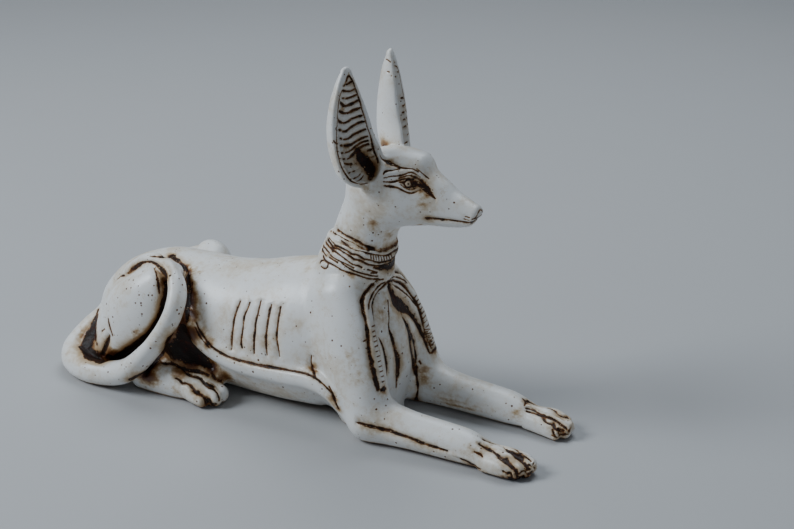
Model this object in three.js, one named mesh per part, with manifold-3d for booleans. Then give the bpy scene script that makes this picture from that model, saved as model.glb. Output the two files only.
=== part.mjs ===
// A recumbent jackal figurine cast in one piece: fore legs stretched out in front, head up, and the tail
// looped round the near thigh. Millimetres. +X points to the nose and the fore paws, +Z is up, and the near
// side, which carries the tail loop, is -Y.
// The whole form is one rounded field, negative inside the cast, from which one closed skin is drawn.
import * as THREE from "three";
import { mergeVertices } from "three/addons/utils/BufferGeometryUtils.js";
import Module from "manifold-3d";

// Driving sizes. The stations are measured from a point under the chest; middleX and middleY say where the
// middle of the footprint lies from there, and that middle, on the ground, is the part's own origin.
const middleX = -3.36;
const middleY = -5.51;
const gridStep = 1.5;
const skinTriangles = 9300;
const collarGrooveDepth = 0.9;
const strapHeight = 1.3;
const strapHalfWidth = 2.9;
const ribGrooveDepth = 1.3;
const ribGrooveWidth = 0.95;
const toeGrooveDepth = 1.7;
const earWall = 3.5;
const earShift = 0.9;
const recessWidth = 2.6;

// Stations are x, y, z, half width and half height of an ellipse carried along a smooth curve.
const torso = [
  [-152, 0, 17, 9, 11],
  [-145, 0, 22.5, 16, 18.5],
  [-134, 0, 29, 23, 27],
  [-119, 0, 34.5, 28.5, 34.5],
  [-100, 0, 37.5, 32, 39.5],
  [-80, 0, 38, 33.5, 40],
  [-55, 0, 38.5, 34.5, 40],
  [-30, 0, 40, 36.5, 42],
  [-8, 0, 43, 38, 44.5],
  [12, 0, 45.5, 36.5, 45.5],
  [28, 0, 45, 32, 42],
  [38, 0, 46, 26, 36],
];
const neck = [
  [41, 0, 2, 23, 18],
  [38, 0, 30, 30, 24],
  [35, 0, 55, 30, 24],
  [31.5, 0, 74, 26, 22.5],
  [30.5, 0, 88, 20.5, 21],
  [34, 0, 101, 18.3, 19],
  [38, 0, 114, 17.2, 18],
  [43.3, 0, 128, 16.8, 17.6],
  [49, 0, 140, 17, 17],
];
const head = [
  [46, 0, 146, 18.5, 17],
  [56, 0, 144.5, 20.5, 21],
  [66, 0, 143, 19.6, 21.4],
  [75, 0, 141, 16, 18],
  [83, 0, 139.2, 12.6, 14.6],
  [92, 0, 136.8, 10, 11.2],
  [100, 0, 135.6, 8, 8.6],
  [105.5, 0, 134.8, 6.8, 6.8],
];
const forehead = [
  [50, 0, 157.5, 13, 7.5],
  [62, 0, 158, 12.5, 8.2],
  [74, 0, 158, 9.5, 7.8],
];
const upperArm = [
  [32, -19, 79, 15.5, 12.5],
  [39, -24.5, 62, 18, 13.5],
  [45.5, -28, 45, 17.6, 13.5],
  [54, -30, 28, 14.2, 13],
  [58, -30.5, 15, 12.5, 12],
];
const foreLeg = [
  [57.5, -30, 12, 11.5, 12.5],
  [70, -29.3, 12, 11, 12.6],
  [85, -28.8, 11, 10.8, 10.8],
  [100, -28.3, 10.3, 10.4, 10.3],
  [117, -28, 9.4, 10.2, 9.7],
  [128, -28, 7.6, 9.8, 7.4],
  [136, -28, 6.2, 8.4, 5.4],
];
const foreToes = [
  [[132, -34, 5.5, 4.6, 5], [143, -34.6, 6, 4.9, 5.4], [151, -33.6, 5, 4.4, 4.6]],
  [[132, -29.5, 8, 4, 5], [145, -29.6, 7.4, 4.1, 5.4], [155, -28.8, 5, 3.9, 4.8]],
  [[132, -25, 8, 3.6, 5], [146, -24.4, 7.4, 3.8, 5.4], [155.5, -23.4, 5, 3.7, 4.8]],
  [[132, -21.5, 6.5, 3.4, 5], [143, -20, 6, 3.4, 5], [151.5, -18.8, 4.6, 3.2, 4.4]],
];
const thigh = [
  [-82, -25, 74, 6, 7],
  [-88, -29, 67, 13.5, 11.5],
  [-97, -31.5, 56, 19, 14.8],
  [-106, -32, 44.5, 21.5, 16],
  [-115, -32.5, 32, 19, 15],
  [-122, -34.5, 21, 12.5, 11.5],
  [-127, -36.5, 12.5, 6.5, 7.5],
  [-129, -37, 8, 4, 5],
];
const farThigh = [
  [-93, -31, 62.5, 12.4, 10.5],
  [-101, -31, 51, 20.5, 15.5],
  [-112, -31, 38, 21.5, 16],
  [-121, -33, 25, 15, 13],
  [-127, -36, 14, 7.5, 8],
  [-129, -37, 8.5, 4, 5],
];
const haunchFold = [
  [-129, -20, 42, 7, 8],
  [-135, -25, 31, 6.5, 8],
  [-134, -31, 19, 4.5, 6],
];
const shank = [
  [-84, -28, 44, 14, 12],
  [-72, -30, 26, 12, 10],
  [-55, -29, 14, 9, 9],
];
const hindFoot = [
  [-98, -38, 8, 9, 9.5],
  [-84, -38, 9, 10, 11],
  [-70, -37.5, 9.5, 10.5, 11],
  [-58, -37, 8.6, 10, 8.4],
  [-50, -37, 7, 8.6, 5.6],
];
const hindToes = [
  [[-66, -42, 8.4, 4, 6], [-58, -44, 7.2, 4.9, 6], [-49.8, -45.4, 5, 4.3, 4.8]],
  [[-62, -37.6, 9.5, 4, 7], [-51.5, -39.5, 8.4, 4.9, 6.8], [-43.6, -41, 5.6, 4.4, 5.2]],
  [[-62, -33, 9, 4, 7], [-52, -33.6, 8, 4.4, 6.4], [-43, -35, 6, 4.2, 5.6]],
];
const bellyBand = [
  [-72, -32, 54, 4, 5],
  [-62, -34.5, 44, 5.5, 6.5],
  [-47, -34.5, 35, 5.8, 6.8],
  [-28, -34.5, 30.3, 5.8, 7],
  [0, -34.5, 30, 5.8, 6.8],
  [20, -35, 31, 5.8, 6.4],
  [35, -36, 27.5, 5.4, 6],
  [46, -35, 17, 5, 5.5],
  [54, -33, 8, 4, 4],
];
const loopFloor = [
  [-146, -10, 24, 10, 11],
  [-143, -26.5, 8, 12, 14],
  [-124, -28, 11, 14, 14],
  [-104, -25, 22, 14, 12],
  [-91, -29, 14, 11, 11],
];
const tail = [
  [-128, 0, 38, 8, 8],
  [-143, -8, 30, 8, 8],
  [-153.5, -19.5, 20, 8, 8.4],
  [-156.5, -33, 10.5, 8, 8.4],
  [-146.5, -44.5, 8, 8, 8.2],
  [-128, -50, 8, 8, 8],
  [-104, -51, 13.5, 7.4, 7.8],
  [-86, -50.5, 29, 5.9, 7.6],
  [-73.6, -48.5, 45, 5.4, 7.4],
  [-68.2, -44, 59, 5.4, 6.8],
  [-70.7, -36.5, 69.5, 5, 6.2],
  [-78.5, -31, 76.2, 4.9, 5.4],
  [-88, -27, 79, 4.8, 4.8],
  [-98, -24.5, 78.5, 4.6, 4.4],
  [-108, -23.5, 74, 4.4, 4],
  [-117, -23.5, 67, 3.4, 3],
];
// The ear stations run up the middle of the opening. Half width is half of the opening, and half height is
// how deep the cup is behind it.
const ear = [
  [53, -21.2, 150.5, 5, 4.4],
  [52.6, -21.9, 153, 8.6, 7.6],
  [51.7, -22.8, 156.5, 12.2, 11.2],
  [50.4, -24, 161.5, 14.8, 14.2],
  [48.8, -25.6, 167.5, 15, 15.3],
  [46.8, -26.8, 175, 14.3, 14.9],
  [45, -27.1, 185, 13.4, 13.2],
  [43.5, -26.8, 195, 10.9, 10.6],
  [42.3, -25.9, 204, 7.4, 7.6],
  [41.6, -25, 209.5, 5, 5],
  [41.3, -24.5, 212, 3.6, 3.4],
];
const earFacing = THREE.MathUtils.degToRad(20);

// Carved lines. Rib lines lie in the side view, so they hold x and z; the chest folds hold y and z.
const ribLines = [
  [[-26.9, 69.1], [-31, 54], [-32.5, 39.3]],
  [[-19.8, 70.5], [-23, 56], [-23.9, 40.6]],
  [[-11.7, 73.5], [-15, 57], [-16.2, 39.7]],
  [[-4.5, 72.5], [-7, 57], [-7.1, 40.5]],
  [[1.7, 72.5], [0.2, 57], [1.3, 41.1]],
];
const bandLine = [
  [-69, 60], [-63.8, 50], [-50.5, 40.9], [-31.9, 37], [-10.8, 36],
  [10, 36.9], [27, 37.7], [38.1, 32.4], [46, 20], [50, 9],
];
const foreLegLine = [[54.5, 12.7], [82.5, 12.3], [111.2, 8.8]];
const wristLine = [[120.5, 6.9], [131.7, 4.3]];
const strapLine = [[-1, 86.5], [-12, 84.5], [-19.5, 79], [-25, 69], [-28, 56], [-29.5, 44], [-29.5, 31]];
const chestFolds = [
  [[-22, 57], [-19, 30]],
  [[-9.6, 60], [-7, 28]],
  [[8.5, 66], [13, 32]],
  [[21, 52], [24, 36]],
];
// Toe lines are seen from above, so they hold x and y.
const foreToeLines = [
  [[125, -28.5], [138, -30.5], [156, -31.8]],
  [[124, -26.5], [140, -26.8], [159, -26]],
  [[134, -22], [142, -22], [156, -21]],
];
const hindToeLines = [
  [[-68, -39.5], [-56, -42], [-44, -43.6]],
  [[-66, -35.3], [-53, -36.6], [-38, -38]],
];
const mouthLine = [[82.6, 132], [98.8, 132.4], [108.8, 132.2], [111.5, 134.5]];
const upperLid = [[62.6, 152.9], [68.5, 154.4], [77, 155.6], [84, 151.5], [92.4, 144]];
const lowerLid = [[62.6, 151.5], [68, 149.6], [75, 147.6], [83, 148], [92.4, 144]];
const browLine = [[62.6, 156.3], [69, 160.2], [77, 161.4], [84, 157], [88.1, 152.7]];
// The recess round the near thigh, inside the loop of the tail: its course seen from the side, and how deep
// it is at each share of the way.
const recessLine = [
  [-133, 56], [-123, 63], [-113.5, 69.5], [-106, 75], [-97, 79], [-89, 79], [-82.5, 75], [-80, 68],
  [-80, 61], [-81.5, 54], [-86, 44], [-96, 31.5], [-109, 21.5], [-121, 14], [-133, 11],
];
const recessDepth = [[0, 0], [0.1, 1.2], [0.3, 2], [0.45, 4], [0.6, 4], [0.9, 4], [1, 1]];
// Shallow sinkings and swellings of the face: x, y, z, radius and depth.
const dents = [
  [80, -14, 150.5, 5.5, 1.2],
  [88, -10, 144.5, 4.5, 0.7],
  [76, -12.5, 158, 4, -0.6],
  [82, -14, 141.5, 6, -0.5],
];
// The cuts that blunt the nose: x, z and slant.
const nosePlanes = [[110.9, 138.5, 0.3], [107.3, 131.5, -0.62]];

const collarLevels = [0.08, 0.2, 0.33, 0.46, 0.66, 0.8, 0.93];

function softMin(a, b, reach) {
  const near = Math.max(reach - Math.abs(a - b), 0) / reach;
  return Math.min(a, b) - (near * near * reach) / 4;
}

function softMax(a, b, reach) {
  return -softMin(-a, -b, reach);
}

// The value at a place in a list of places and values, along straight lines from each to the next.
function between(list, place) {
  const i = Math.min(Math.max(list.findIndex((entry) => entry[0] >= place), 1), list.length - 1);
  const [a, b] = [list[i - 1], list[i]];
  const t = Math.min(Math.max((place - a[0]) / (b[0] - a[0]), 0), 1);
  return a[1] + (b[1] - a[1]) * t;
}

function ease(value) {
  const t = Math.min(Math.max(value, 0), 1);
  return t * t * (3 - 2 * t);
}

// Every station row is carried on a Catmull-Rom curve, which passes through it.
function smoothRows(rows, perSpan) {
  const last = rows.length - 1;
  const row = (i) => {
    if (i < 0) return rows[0].map((v, k) => 2 * v - rows[1][k]);
    if (i > last) return rows[last].map((v, k) => 2 * v - rows[last - 1][k]);
    return rows[i];
  };
  const out = [];
  for (let s = 0; s <= last * perSpan; s++) {
    const i = Math.min(Math.floor(s / perSpan), last - 1);
    const t = s / perSpan - i;
    const [a, b, c, d] = [row(i - 1), row(i), row(i + 1), row(i + 2)];
    out.push(
      b.map((v, k) => {
        const slopes = (c[k] - a[k]) * t + (2 * a[k] - 5 * v + 4 * c[k] - d[k]) * t * t;
        return 0.5 * (2 * v + slopes + (3 * v - a[k] - 3 * c[k] + d[k]) * t ** 3);
      }),
    );
  }
  return out;
}

// An ellipse carried along a curve. The station's height points along facing as far as the curve lets it.
class Limb {
  constructor(rows, facing = new THREE.Vector3(0, 0, 1), cap = 1) {
    const perSpan = 6;
    this.cap = cap;
    const line = smoothRows(rows, perSpan);
    this.centre = line.map((r) => new THREE.Vector3(r[0], r[1], r[2]));
    this.half = line.map((r) => [Math.max(r[3], 0.4), Math.max(r[4], 0.4)]);
    const last = line.length - 1;
    this.along = this.centre.map((_, i) =>
      this.centre[Math.min(i + 1, last)].clone().sub(this.centre[Math.max(i - 1, 0)]).normalize(),
    );
    this.across = this.along.map((t) => facing.clone().cross(t).normalize());
    this.up = this.along.map((t, i) => t.clone().cross(this.across[i]));
    this.box = new THREE.Box3();
    this.centre.forEach((c, i) => {
      const reach = Math.max(...this.half[i]) + 8;
      this.box.expandByPoint(c.clone().addScalar(reach)).expandByPoint(c.clone().subScalar(reach));
    });
  }

  // Where a point lies: the share of the way along, the offset across, up and past the end, and the half
  // sizes there.
  locate(x, y, z) {
    let best = Infinity;
    let at = 0;
    for (let i = 0; i + 1 < this.centre.length; i++) {
      const a = this.centre[i];
      const b = this.centre[i + 1];
      const dx = b.x - a.x;
      const dy = b.y - a.y;
      const dz = b.z - a.z;
      const t = ((x - a.x) * dx + (y - a.y) * dy + (z - a.z) * dz) / (dx * dx + dy * dy + dz * dz);
      const h = Math.min(Math.max(t, 0), 1);
      const d = (x - a.x - h * dx) ** 2 + (y - a.y - h * dy) ** 2 + (z - a.z - h * dz) ** 2;
      if (d < best) {
        best = d;
        at = i + h;
      }
    }
    const i = Math.min(Math.floor(at), this.centre.length - 2);
    const f = at - i;
    const mix = (list, key) => list[i][key] * (1 - f) + list[i + 1][key] * f;
    const px = x - mix(this.centre, "x");
    const py = y - mix(this.centre, "y");
    const pz = z - mix(this.centre, "z");
    const dot = (list) => px * mix(list, "x") + py * mix(list, "y") + pz * mix(list, "z");
    return {
      share: at / (this.centre.length - 1),
      across: dot(this.across),
      up: dot(this.up),
      past: dot(this.along) / this.cap,
      halfAcross: mix(this.half, 0),
      halfUp: mix(this.half, 1),
    };
  }

  // The offset in units of the half sizes, k0, gives nearly the distance as k0 (k0 - 1) / k1.
  distance(x, y, z, inset = 0) {
    const b = this.box;
    const away = x < b.min.x || x > b.max.x || y < b.min.y || y > b.max.y || z < b.min.z || z > b.max.z;
    return away ? 40 : ellipseDistance(this.locate(x, y, z), inset);
  }
}

function ellipseDistance(at, inset) {
  const a = Math.max(at.halfAcross - inset, 0.3);
  const u = Math.max(at.halfUp - inset, 0.3);
  const e = Math.min(a, u);
  const k0 = Math.hypot(at.across / a, at.up / u, at.past / e);
  const k1 = Math.hypot(at.across / (a * a), at.up / (u * u), at.past / (e * e));
  return k1 > 1e-6 ? (k0 * (k0 - 1)) / k1 : -e;
}

// How deep a point lies in a line cut on a view plane: 1 on the line, falling to 0 a width away, and less at
// the line's ends.
class Cut {
  constructor(rows, width, perSpan = 5) {
    this.line = smoothRows(rows, perSpan);
    this.width = width;
    this.box = new THREE.Box2();
    this.line.forEach((p) => this.box.expandByPoint(new THREE.Vector2(p[0], p[1])));
    this.box.expandByScalar(3 * width);
  }

  nearest(u, v) {
    let best = Infinity;
    let at = 0;
    for (let i = 0; i + 1 < this.line.length; i++) {
      const [au, av] = this.line[i];
      const du = this.line[i + 1][0] - au;
      const dv = this.line[i + 1][1] - av;
      const h = Math.min(Math.max(((u - au) * du + (v - av) * dv) / (du * du + dv * dv), 0), 1);
      const d = (u - au - h * du) ** 2 + (v - av - h * dv) ** 2;
      if (d < best) {
        best = d;
        at = i + h;
      }
    }
    return [Math.sqrt(best), at / (this.line.length - 1)];
  }

  depth(u, v) {
    const b = this.box;
    if (u < b.min.x || u > b.max.x || v < b.min.y || v > b.max.y) return 0;
    const [d, share] = this.nearest(u, v);
    const fade = ease(share / 0.12) * ease((1 - share) / 0.12);
    return Math.exp(-((d / this.width) ** 2)) * (0.35 + 0.65 * fade);
  }
}

const side = new THREE.Vector3(0, -1, 0);
const front = new THREE.Vector3(1, 0, 0);
const earFront = new THREE.Vector3(Math.cos(earFacing), -Math.sin(earFacing), 0);
const limbs = {
  torso: new Limb(torso),
  neck: new Limb(neck, front),
  head: new Limb(head),
  forehead: new Limb(forehead, new THREE.Vector3(0, 0, 1), 0.75),
  upperArm: new Limb(upperArm, side),
  foreLeg: new Limb(foreLeg),
  thigh: new Limb(thigh, side),
  farThigh: new Limb(farThigh, side),
  haunchFold: new Limb(haunchFold, side),
  shank: new Limb(shank, side),
  hindFoot: new Limb(hindFoot),
  bellyBand: new Limb(bellyBand, new THREE.Vector3(0.05, 0, 1)),
  loopFloor: new Limb(loopFloor, side),
  tail: new Limb(tail, new THREE.Vector3(0, -1, 0.3)),
  ear: new Limb(ear, earFront),
  foreToes: foreToes.map((rows) => new Limb(rows)),
  hindToes: hindToes.map((rows) => new Limb(rows)),
};
const cuts = {
  ribs: ribLines.map((rows) => new Cut(rows, ribGrooveWidth)),
  band: new Cut(bandLine, 1.3),
  foreLeg: new Cut(foreLegLine, 1.3),
  wrist: new Cut(wristLine, 1.1),
  strap: new Cut(strapLine, 3),
  toes: [...foreToeLines, ...hindToeLines].map((rows) => new Cut(rows, 0.9)),
  folds: chestFolds.map((rows) => new Cut(rows, 1.2)),
  mouth: new Cut(mouthLine, 0.9),
  lids: [new Cut(upperLid, 0.8), new Cut(lowerLid, 0.8)],
  brow: new Cut(browLine, 0.8),
  recess: new Cut(recessLine, recessWidth),
};

// The smooth body without the tail and the carved lines. Both halves are alike, so y is never above zero.
function formAt(x, y, z) {
  let d = limbs.torso.distance(x, y, z);
  d = softMin(d, limbs.neck.distance(x, y, z), 9);
  d = softMin(d, limbs.upperArm.distance(x, y, z), 9);
  d = softMin(d, limbs.haunchFold.distance(x, y, z), 6);
  d = softMin(d, limbs.loopFloor.distance(x, y, z), 4);
  d = softMin(d, limbs.bellyBand.distance(x, y, z), 2.5);
  d = softMin(d, limbs.shank.distance(x, y, z), 6);
  let skull = softMin(limbs.head.distance(x, y, z), limbs.forehead.distance(x, y, z), 5);
  if (x > 90)
    for (const [px, pz, slant] of nosePlanes)
      skull = softMax(skull, (x - px) * Math.cos(slant) + (z - pz) * Math.sin(slant), 2.2);
  d = softMin(d, skull, 7);
  let foot = limbs.hindFoot.distance(x, y, z);
  for (const toe of limbs.hindToes) foot = softMin(foot, toe.distance(x, y, z), 1.4);
  d = softMin(d, foot, 4);
  let leg = limbs.foreLeg.distance(x, y, z);
  for (const toe of limbs.foreToes) leg = softMin(leg, toe.distance(x, y, z), 1.4);
  d = softMin(d, leg, 7);
  return d;
}

function fieldAt(x, trueY, z) {
  const y = -Math.abs(trueY);
  let d = formAt(x, y, z);
  if (x < -55) {
    d = softMin(d, (trueY < 0 ? limbs.thigh : limbs.farThigh).distance(x, y, z), 6);
    const [gap, share] = cuts.recess.nearest(x, z);
    d += between(recessDepth, share) * Math.exp(-((gap / recessWidth) ** 2)) * ease((-12 - trueY) / 8);
    const reach = 2 + 5.5 * ease((-86 - x) / 16) * ease((z - 55) / 10);
    d = softMin(d, limbs.tail.distance(x, trueY, z), reach);
  }
  // The side carving: rib lines, the line over the belly band, and the fore leg.
  if (y < -17) {
    for (const rib of cuts.ribs) d += ribGrooveDepth * rib.depth(x, z);
    d += 1.6 * cuts.band.depth(x, z);
    if (y < -30) {
      d += 1.5 * cuts.foreLeg.depth(x, z);
      d += 1.2 * cuts.wrist.depth(x, z);
    }
    if (z > 3) for (const toe of cuts.toes) d += toeGrooveDepth * toe.depth(x, y);
  }
  // The chest: raised straps with a dark groove outside them, and folds between them.
  if (x > 38 && z > 24 && z < 92 && y > -38) {
    const [off, share] = cuts.strap.nearest(y, z);
    const outer = y < -8 ? cuts.strap.nearest(y + 4.2, z + 1.4)[0] : 9;
    const fade = ease((share - 0.1) / 0.2) * ease((1.02 - share) / 0.08);
    d += 2 * Math.exp(-((outer / 1.3) ** 2)) * fade;
    d -= strapHeight * (1 - ease((off - strapHalfWidth + 0.6) / 1.1)) * ease((share + 0.02) / 0.04);
    for (const fold of cuts.folds) d += 1.3 * fold.depth(trueY, z);
  }
  // The wound collar: one raised ring round the neck, crossed by sunk lines.
  if (z > 80 && z < 120 && x > -2 && x < 66) {
    const low = 88.5 - 0.02 * (x - 6);
    const high = 112 - 0.09 * (x - 17);
    const level = (z - low) / (high - low);
    let cut = 0;
    for (const at of collarLevels) cut = Math.max(cut, Math.exp(-((((level - at) * 23) / 0.7) ** 2)));
    const ring = limbs.neck.distance(x, y, z) - 2.3 + collarGrooveDepth * cut;
    d = softMin(d, softMax(ring, Math.max(low - z, z - high), 1.6), 0.8);
  }
  // The face.
  if (x > 55 && z > 120 && z < 170) {
    if (Math.abs(y) > 1.5 || x > 104) d += 1.1 * cuts.mouth.depth(x, z);
    if (y < -5) {
      for (const lid of cuts.lids) d += 0.8 * lid.depth(x, z);
      d += 0.6 * cuts.brow.depth(x, z);
    }
    for (const [dx, dy, dz, radius, depth] of dents)
      d += depth * Math.exp(-((x - dx) ** 2 + (y - dy) ** 2 + (z - dz) ** 2) / radius ** 2);
  }
  // The ears: half cups, hollowed from the front and crossed by ribs.
  if (z > 138) {
    const b = limbs.ear.box;
    if (x > b.min.x && x < b.max.x && y > b.min.y && y < b.max.y) {
      const at = limbs.ear.locate(x, y, z);
      const cup = softMax(ellipseDistance(at, 0), at.up - 0.8, 1.6);
      const rise = at.share * 67;
      const rib = Math.cos((2 * Math.PI * (rise + Math.abs(at.across) * 0.45)) / 3.4);
      const inner = { ...at, across: at.across + earShift };
      const hollow = softMax(ellipseDistance(inner, earWall + 0.45 * rib), Math.max(at.up - 7, 151.8 - z), 2);
      d = softMin(d, cup, 3 + 5 * ease((164 - z) / 9));
      d = softMax(d, -hollow, 1.2);
    }
  }
  return d;
}

// A surface net: one point in every cell that the skin crosses, at the mean of its edge crossings.
function drawSkin(low, high, step) {
  const block = 4;
  const turn = [
    [1, 0, 0],
    [0, 1, 0],
    [0, 0, 1],
  ];
  const count = [0, 1, 2].map((a) => Math.ceil((high[a] - low[a]) / (step * block)) * block + 1);
  const [nx, ny, nz] = count;
  const index = (i, j, k) => (i * ny + j) * nz + k;
  const values = new Float32Array(nx * ny * nz).fill(NaN);
  const at = (i, j, k) => fieldAt(low[0] + i * step, low[1] + j * step, low[2] + k * step);
  const reach = step * block * 1.1;
  for (let i = 0; i + 1 < nx; i += block)
    for (let j = 0; j + 1 < ny; j += block)
      for (let k = 0; k + 1 < nz; k += block) {
        const middle = at(i + block / 2, j + block / 2, k + block / 2);
        const near = Math.abs(middle) < reach;
        for (let a = 0; a <= block; a++)
          for (let b = 0; b <= block; b++)
            for (let c = 0; c <= block; c++) {
              const n = index(i + a, j + b, k + c);
              if (near && !(Math.abs(values[n]) < 1e8)) values[n] = at(i + a, j + b, k + c);
              else if (Number.isNaN(values[n])) values[n] = middle > 0 ? 1e9 : -1e9;
            }
      }
  // The rim of the grid counts as outside, and two inside corners that touch only across a cell's face are
  // parted.
  for (let i = 0; i < nx; i++)
    for (let j = 0; j < ny; j++)
      for (let k = 0; k < nz; k++) {
        const rim = i === 0 || j === 0 || k === 0 || i === nx - 1 || j === ny - 1 || k === nz - 1;
        if (rim) values[index(i, j, k)] = Math.max(values[index(i, j, k)], 0.1 * step);
      }
  for (let round = 0; round < 4; round++)
    for (let i = 0; i + 1 < nx; i++)
      for (let j = 0; j + 1 < ny; j++)
        for (let k = 0; k + 1 < nz; k++)
          for (let a = 0; a < 3; a++) {
            const u = turn[a];
            const w = turn[(a + 1) % 3];
            const p = index(i, j, k);
            const q = index(i + u[0], j + u[1], k + u[2]);
            const r = index(i + w[0], j + w[1], k + w[2]);
            const s = index(i + u[0] + w[0], j + u[1] + w[1], k + u[2] + w[2]);
            const [inP, inQ, inR, inS] = [p, q, r, s].map((n) => values[n] < 0);
            if (inP !== inS || inQ !== inR || inP === inQ) continue;
            const pair = inP ? [p, s] : [q, r];
            const weaker = values[pair[0]] > values[pair[1]] ? pair[0] : pair[1];
            values[weaker] = 0.02 * step;
          }
  const points = [];
  const cellPoint = new Int32Array(nx * ny * nz).fill(-1);
  const corners = [];
  for (let n = 0; n < 8; n++) corners.push([n >> 2, (n >> 1) & 1, n & 1]);
  const edges = [];
  corners.forEach((p, m) =>
    corners.forEach((q, n) => {
      const apart = Math.abs(p[0] - q[0]) + Math.abs(p[1] - q[1]) + Math.abs(p[2] - q[2]);
      if (m < n && apart === 1) edges.push([m, n]);
    }),
  );
  for (let i = 0; i + 1 < nx; i++)
    for (let j = 0; j + 1 < ny; j++)
      for (let k = 0; k + 1 < nz; k++) {
        const v = corners.map(([a, b, c]) => values[index(i + a, j + b, k + c)]);
        const inside = v.filter((f) => f < 0).length;
        if (inside === 0 || inside === 8) continue;
        const sum = [0, 0, 0];
        let n = 0;
        for (const [m, o] of edges) {
          if (v[m] < 0 === v[o] < 0) continue;
          const t = v[m] / (v[m] - v[o]);
          for (let a = 0; a < 3; a++) sum[a] += corners[m][a] + t * (corners[o][a] - corners[m][a]);
          n++;
        }
        cellPoint[index(i, j, k)] = points.length / 3;
        [i, j, k].forEach((cell, a) => points.push(low[a] + (cell + sum[a] / n) * step));
      }
  const faces = [];
  for (let i = 0; i + 1 < nx; i++)
    for (let j = 0; j + 1 < ny; j++)
      for (let k = 0; k + 1 < nz; k++)
        for (let a = 0; a < 3; a++) {
          if ([i, j, k].some((n, m) => m !== a && n === 0)) continue;
          const [da, db, dc] = turn[a];
          const inside = values[index(i, j, k)] < 0;
          if (inside === values[index(i + da, j + db, k + dc)] < 0) continue;
          const u = turn[(a + 1) % 3];
          const w = turn[(a + 2) % 3];
          const back = (a, m, n) => m * u[a] + n * w[a];
          const cell = (m, n) => cellPoint[index(i - back(0, m, n), j - back(1, m, n), k - back(2, m, n))];
          const ring = [cell(1, 1), cell(0, 1), cell(0, 0), cell(1, 0)];
          if (!inside) ring.reverse();
          const span = (m, n) =>
            [0, 1, 2].reduce((sum, c) => sum + (points[3 * ring[m] + c] - points[3 * ring[n] + c]) ** 2, 0);
          if (span(0, 2) < span(1, 3)) faces.push(ring[0], ring[1], ring[2], ring[0], ring[2], ring[3]);
          else faces.push(ring[1], ring[2], ring[3], ring[1], ring[3], ring[0]);
        }
  return { points: Float64Array.from(points), faces: Int32Array.from(faces) };
}

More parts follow.
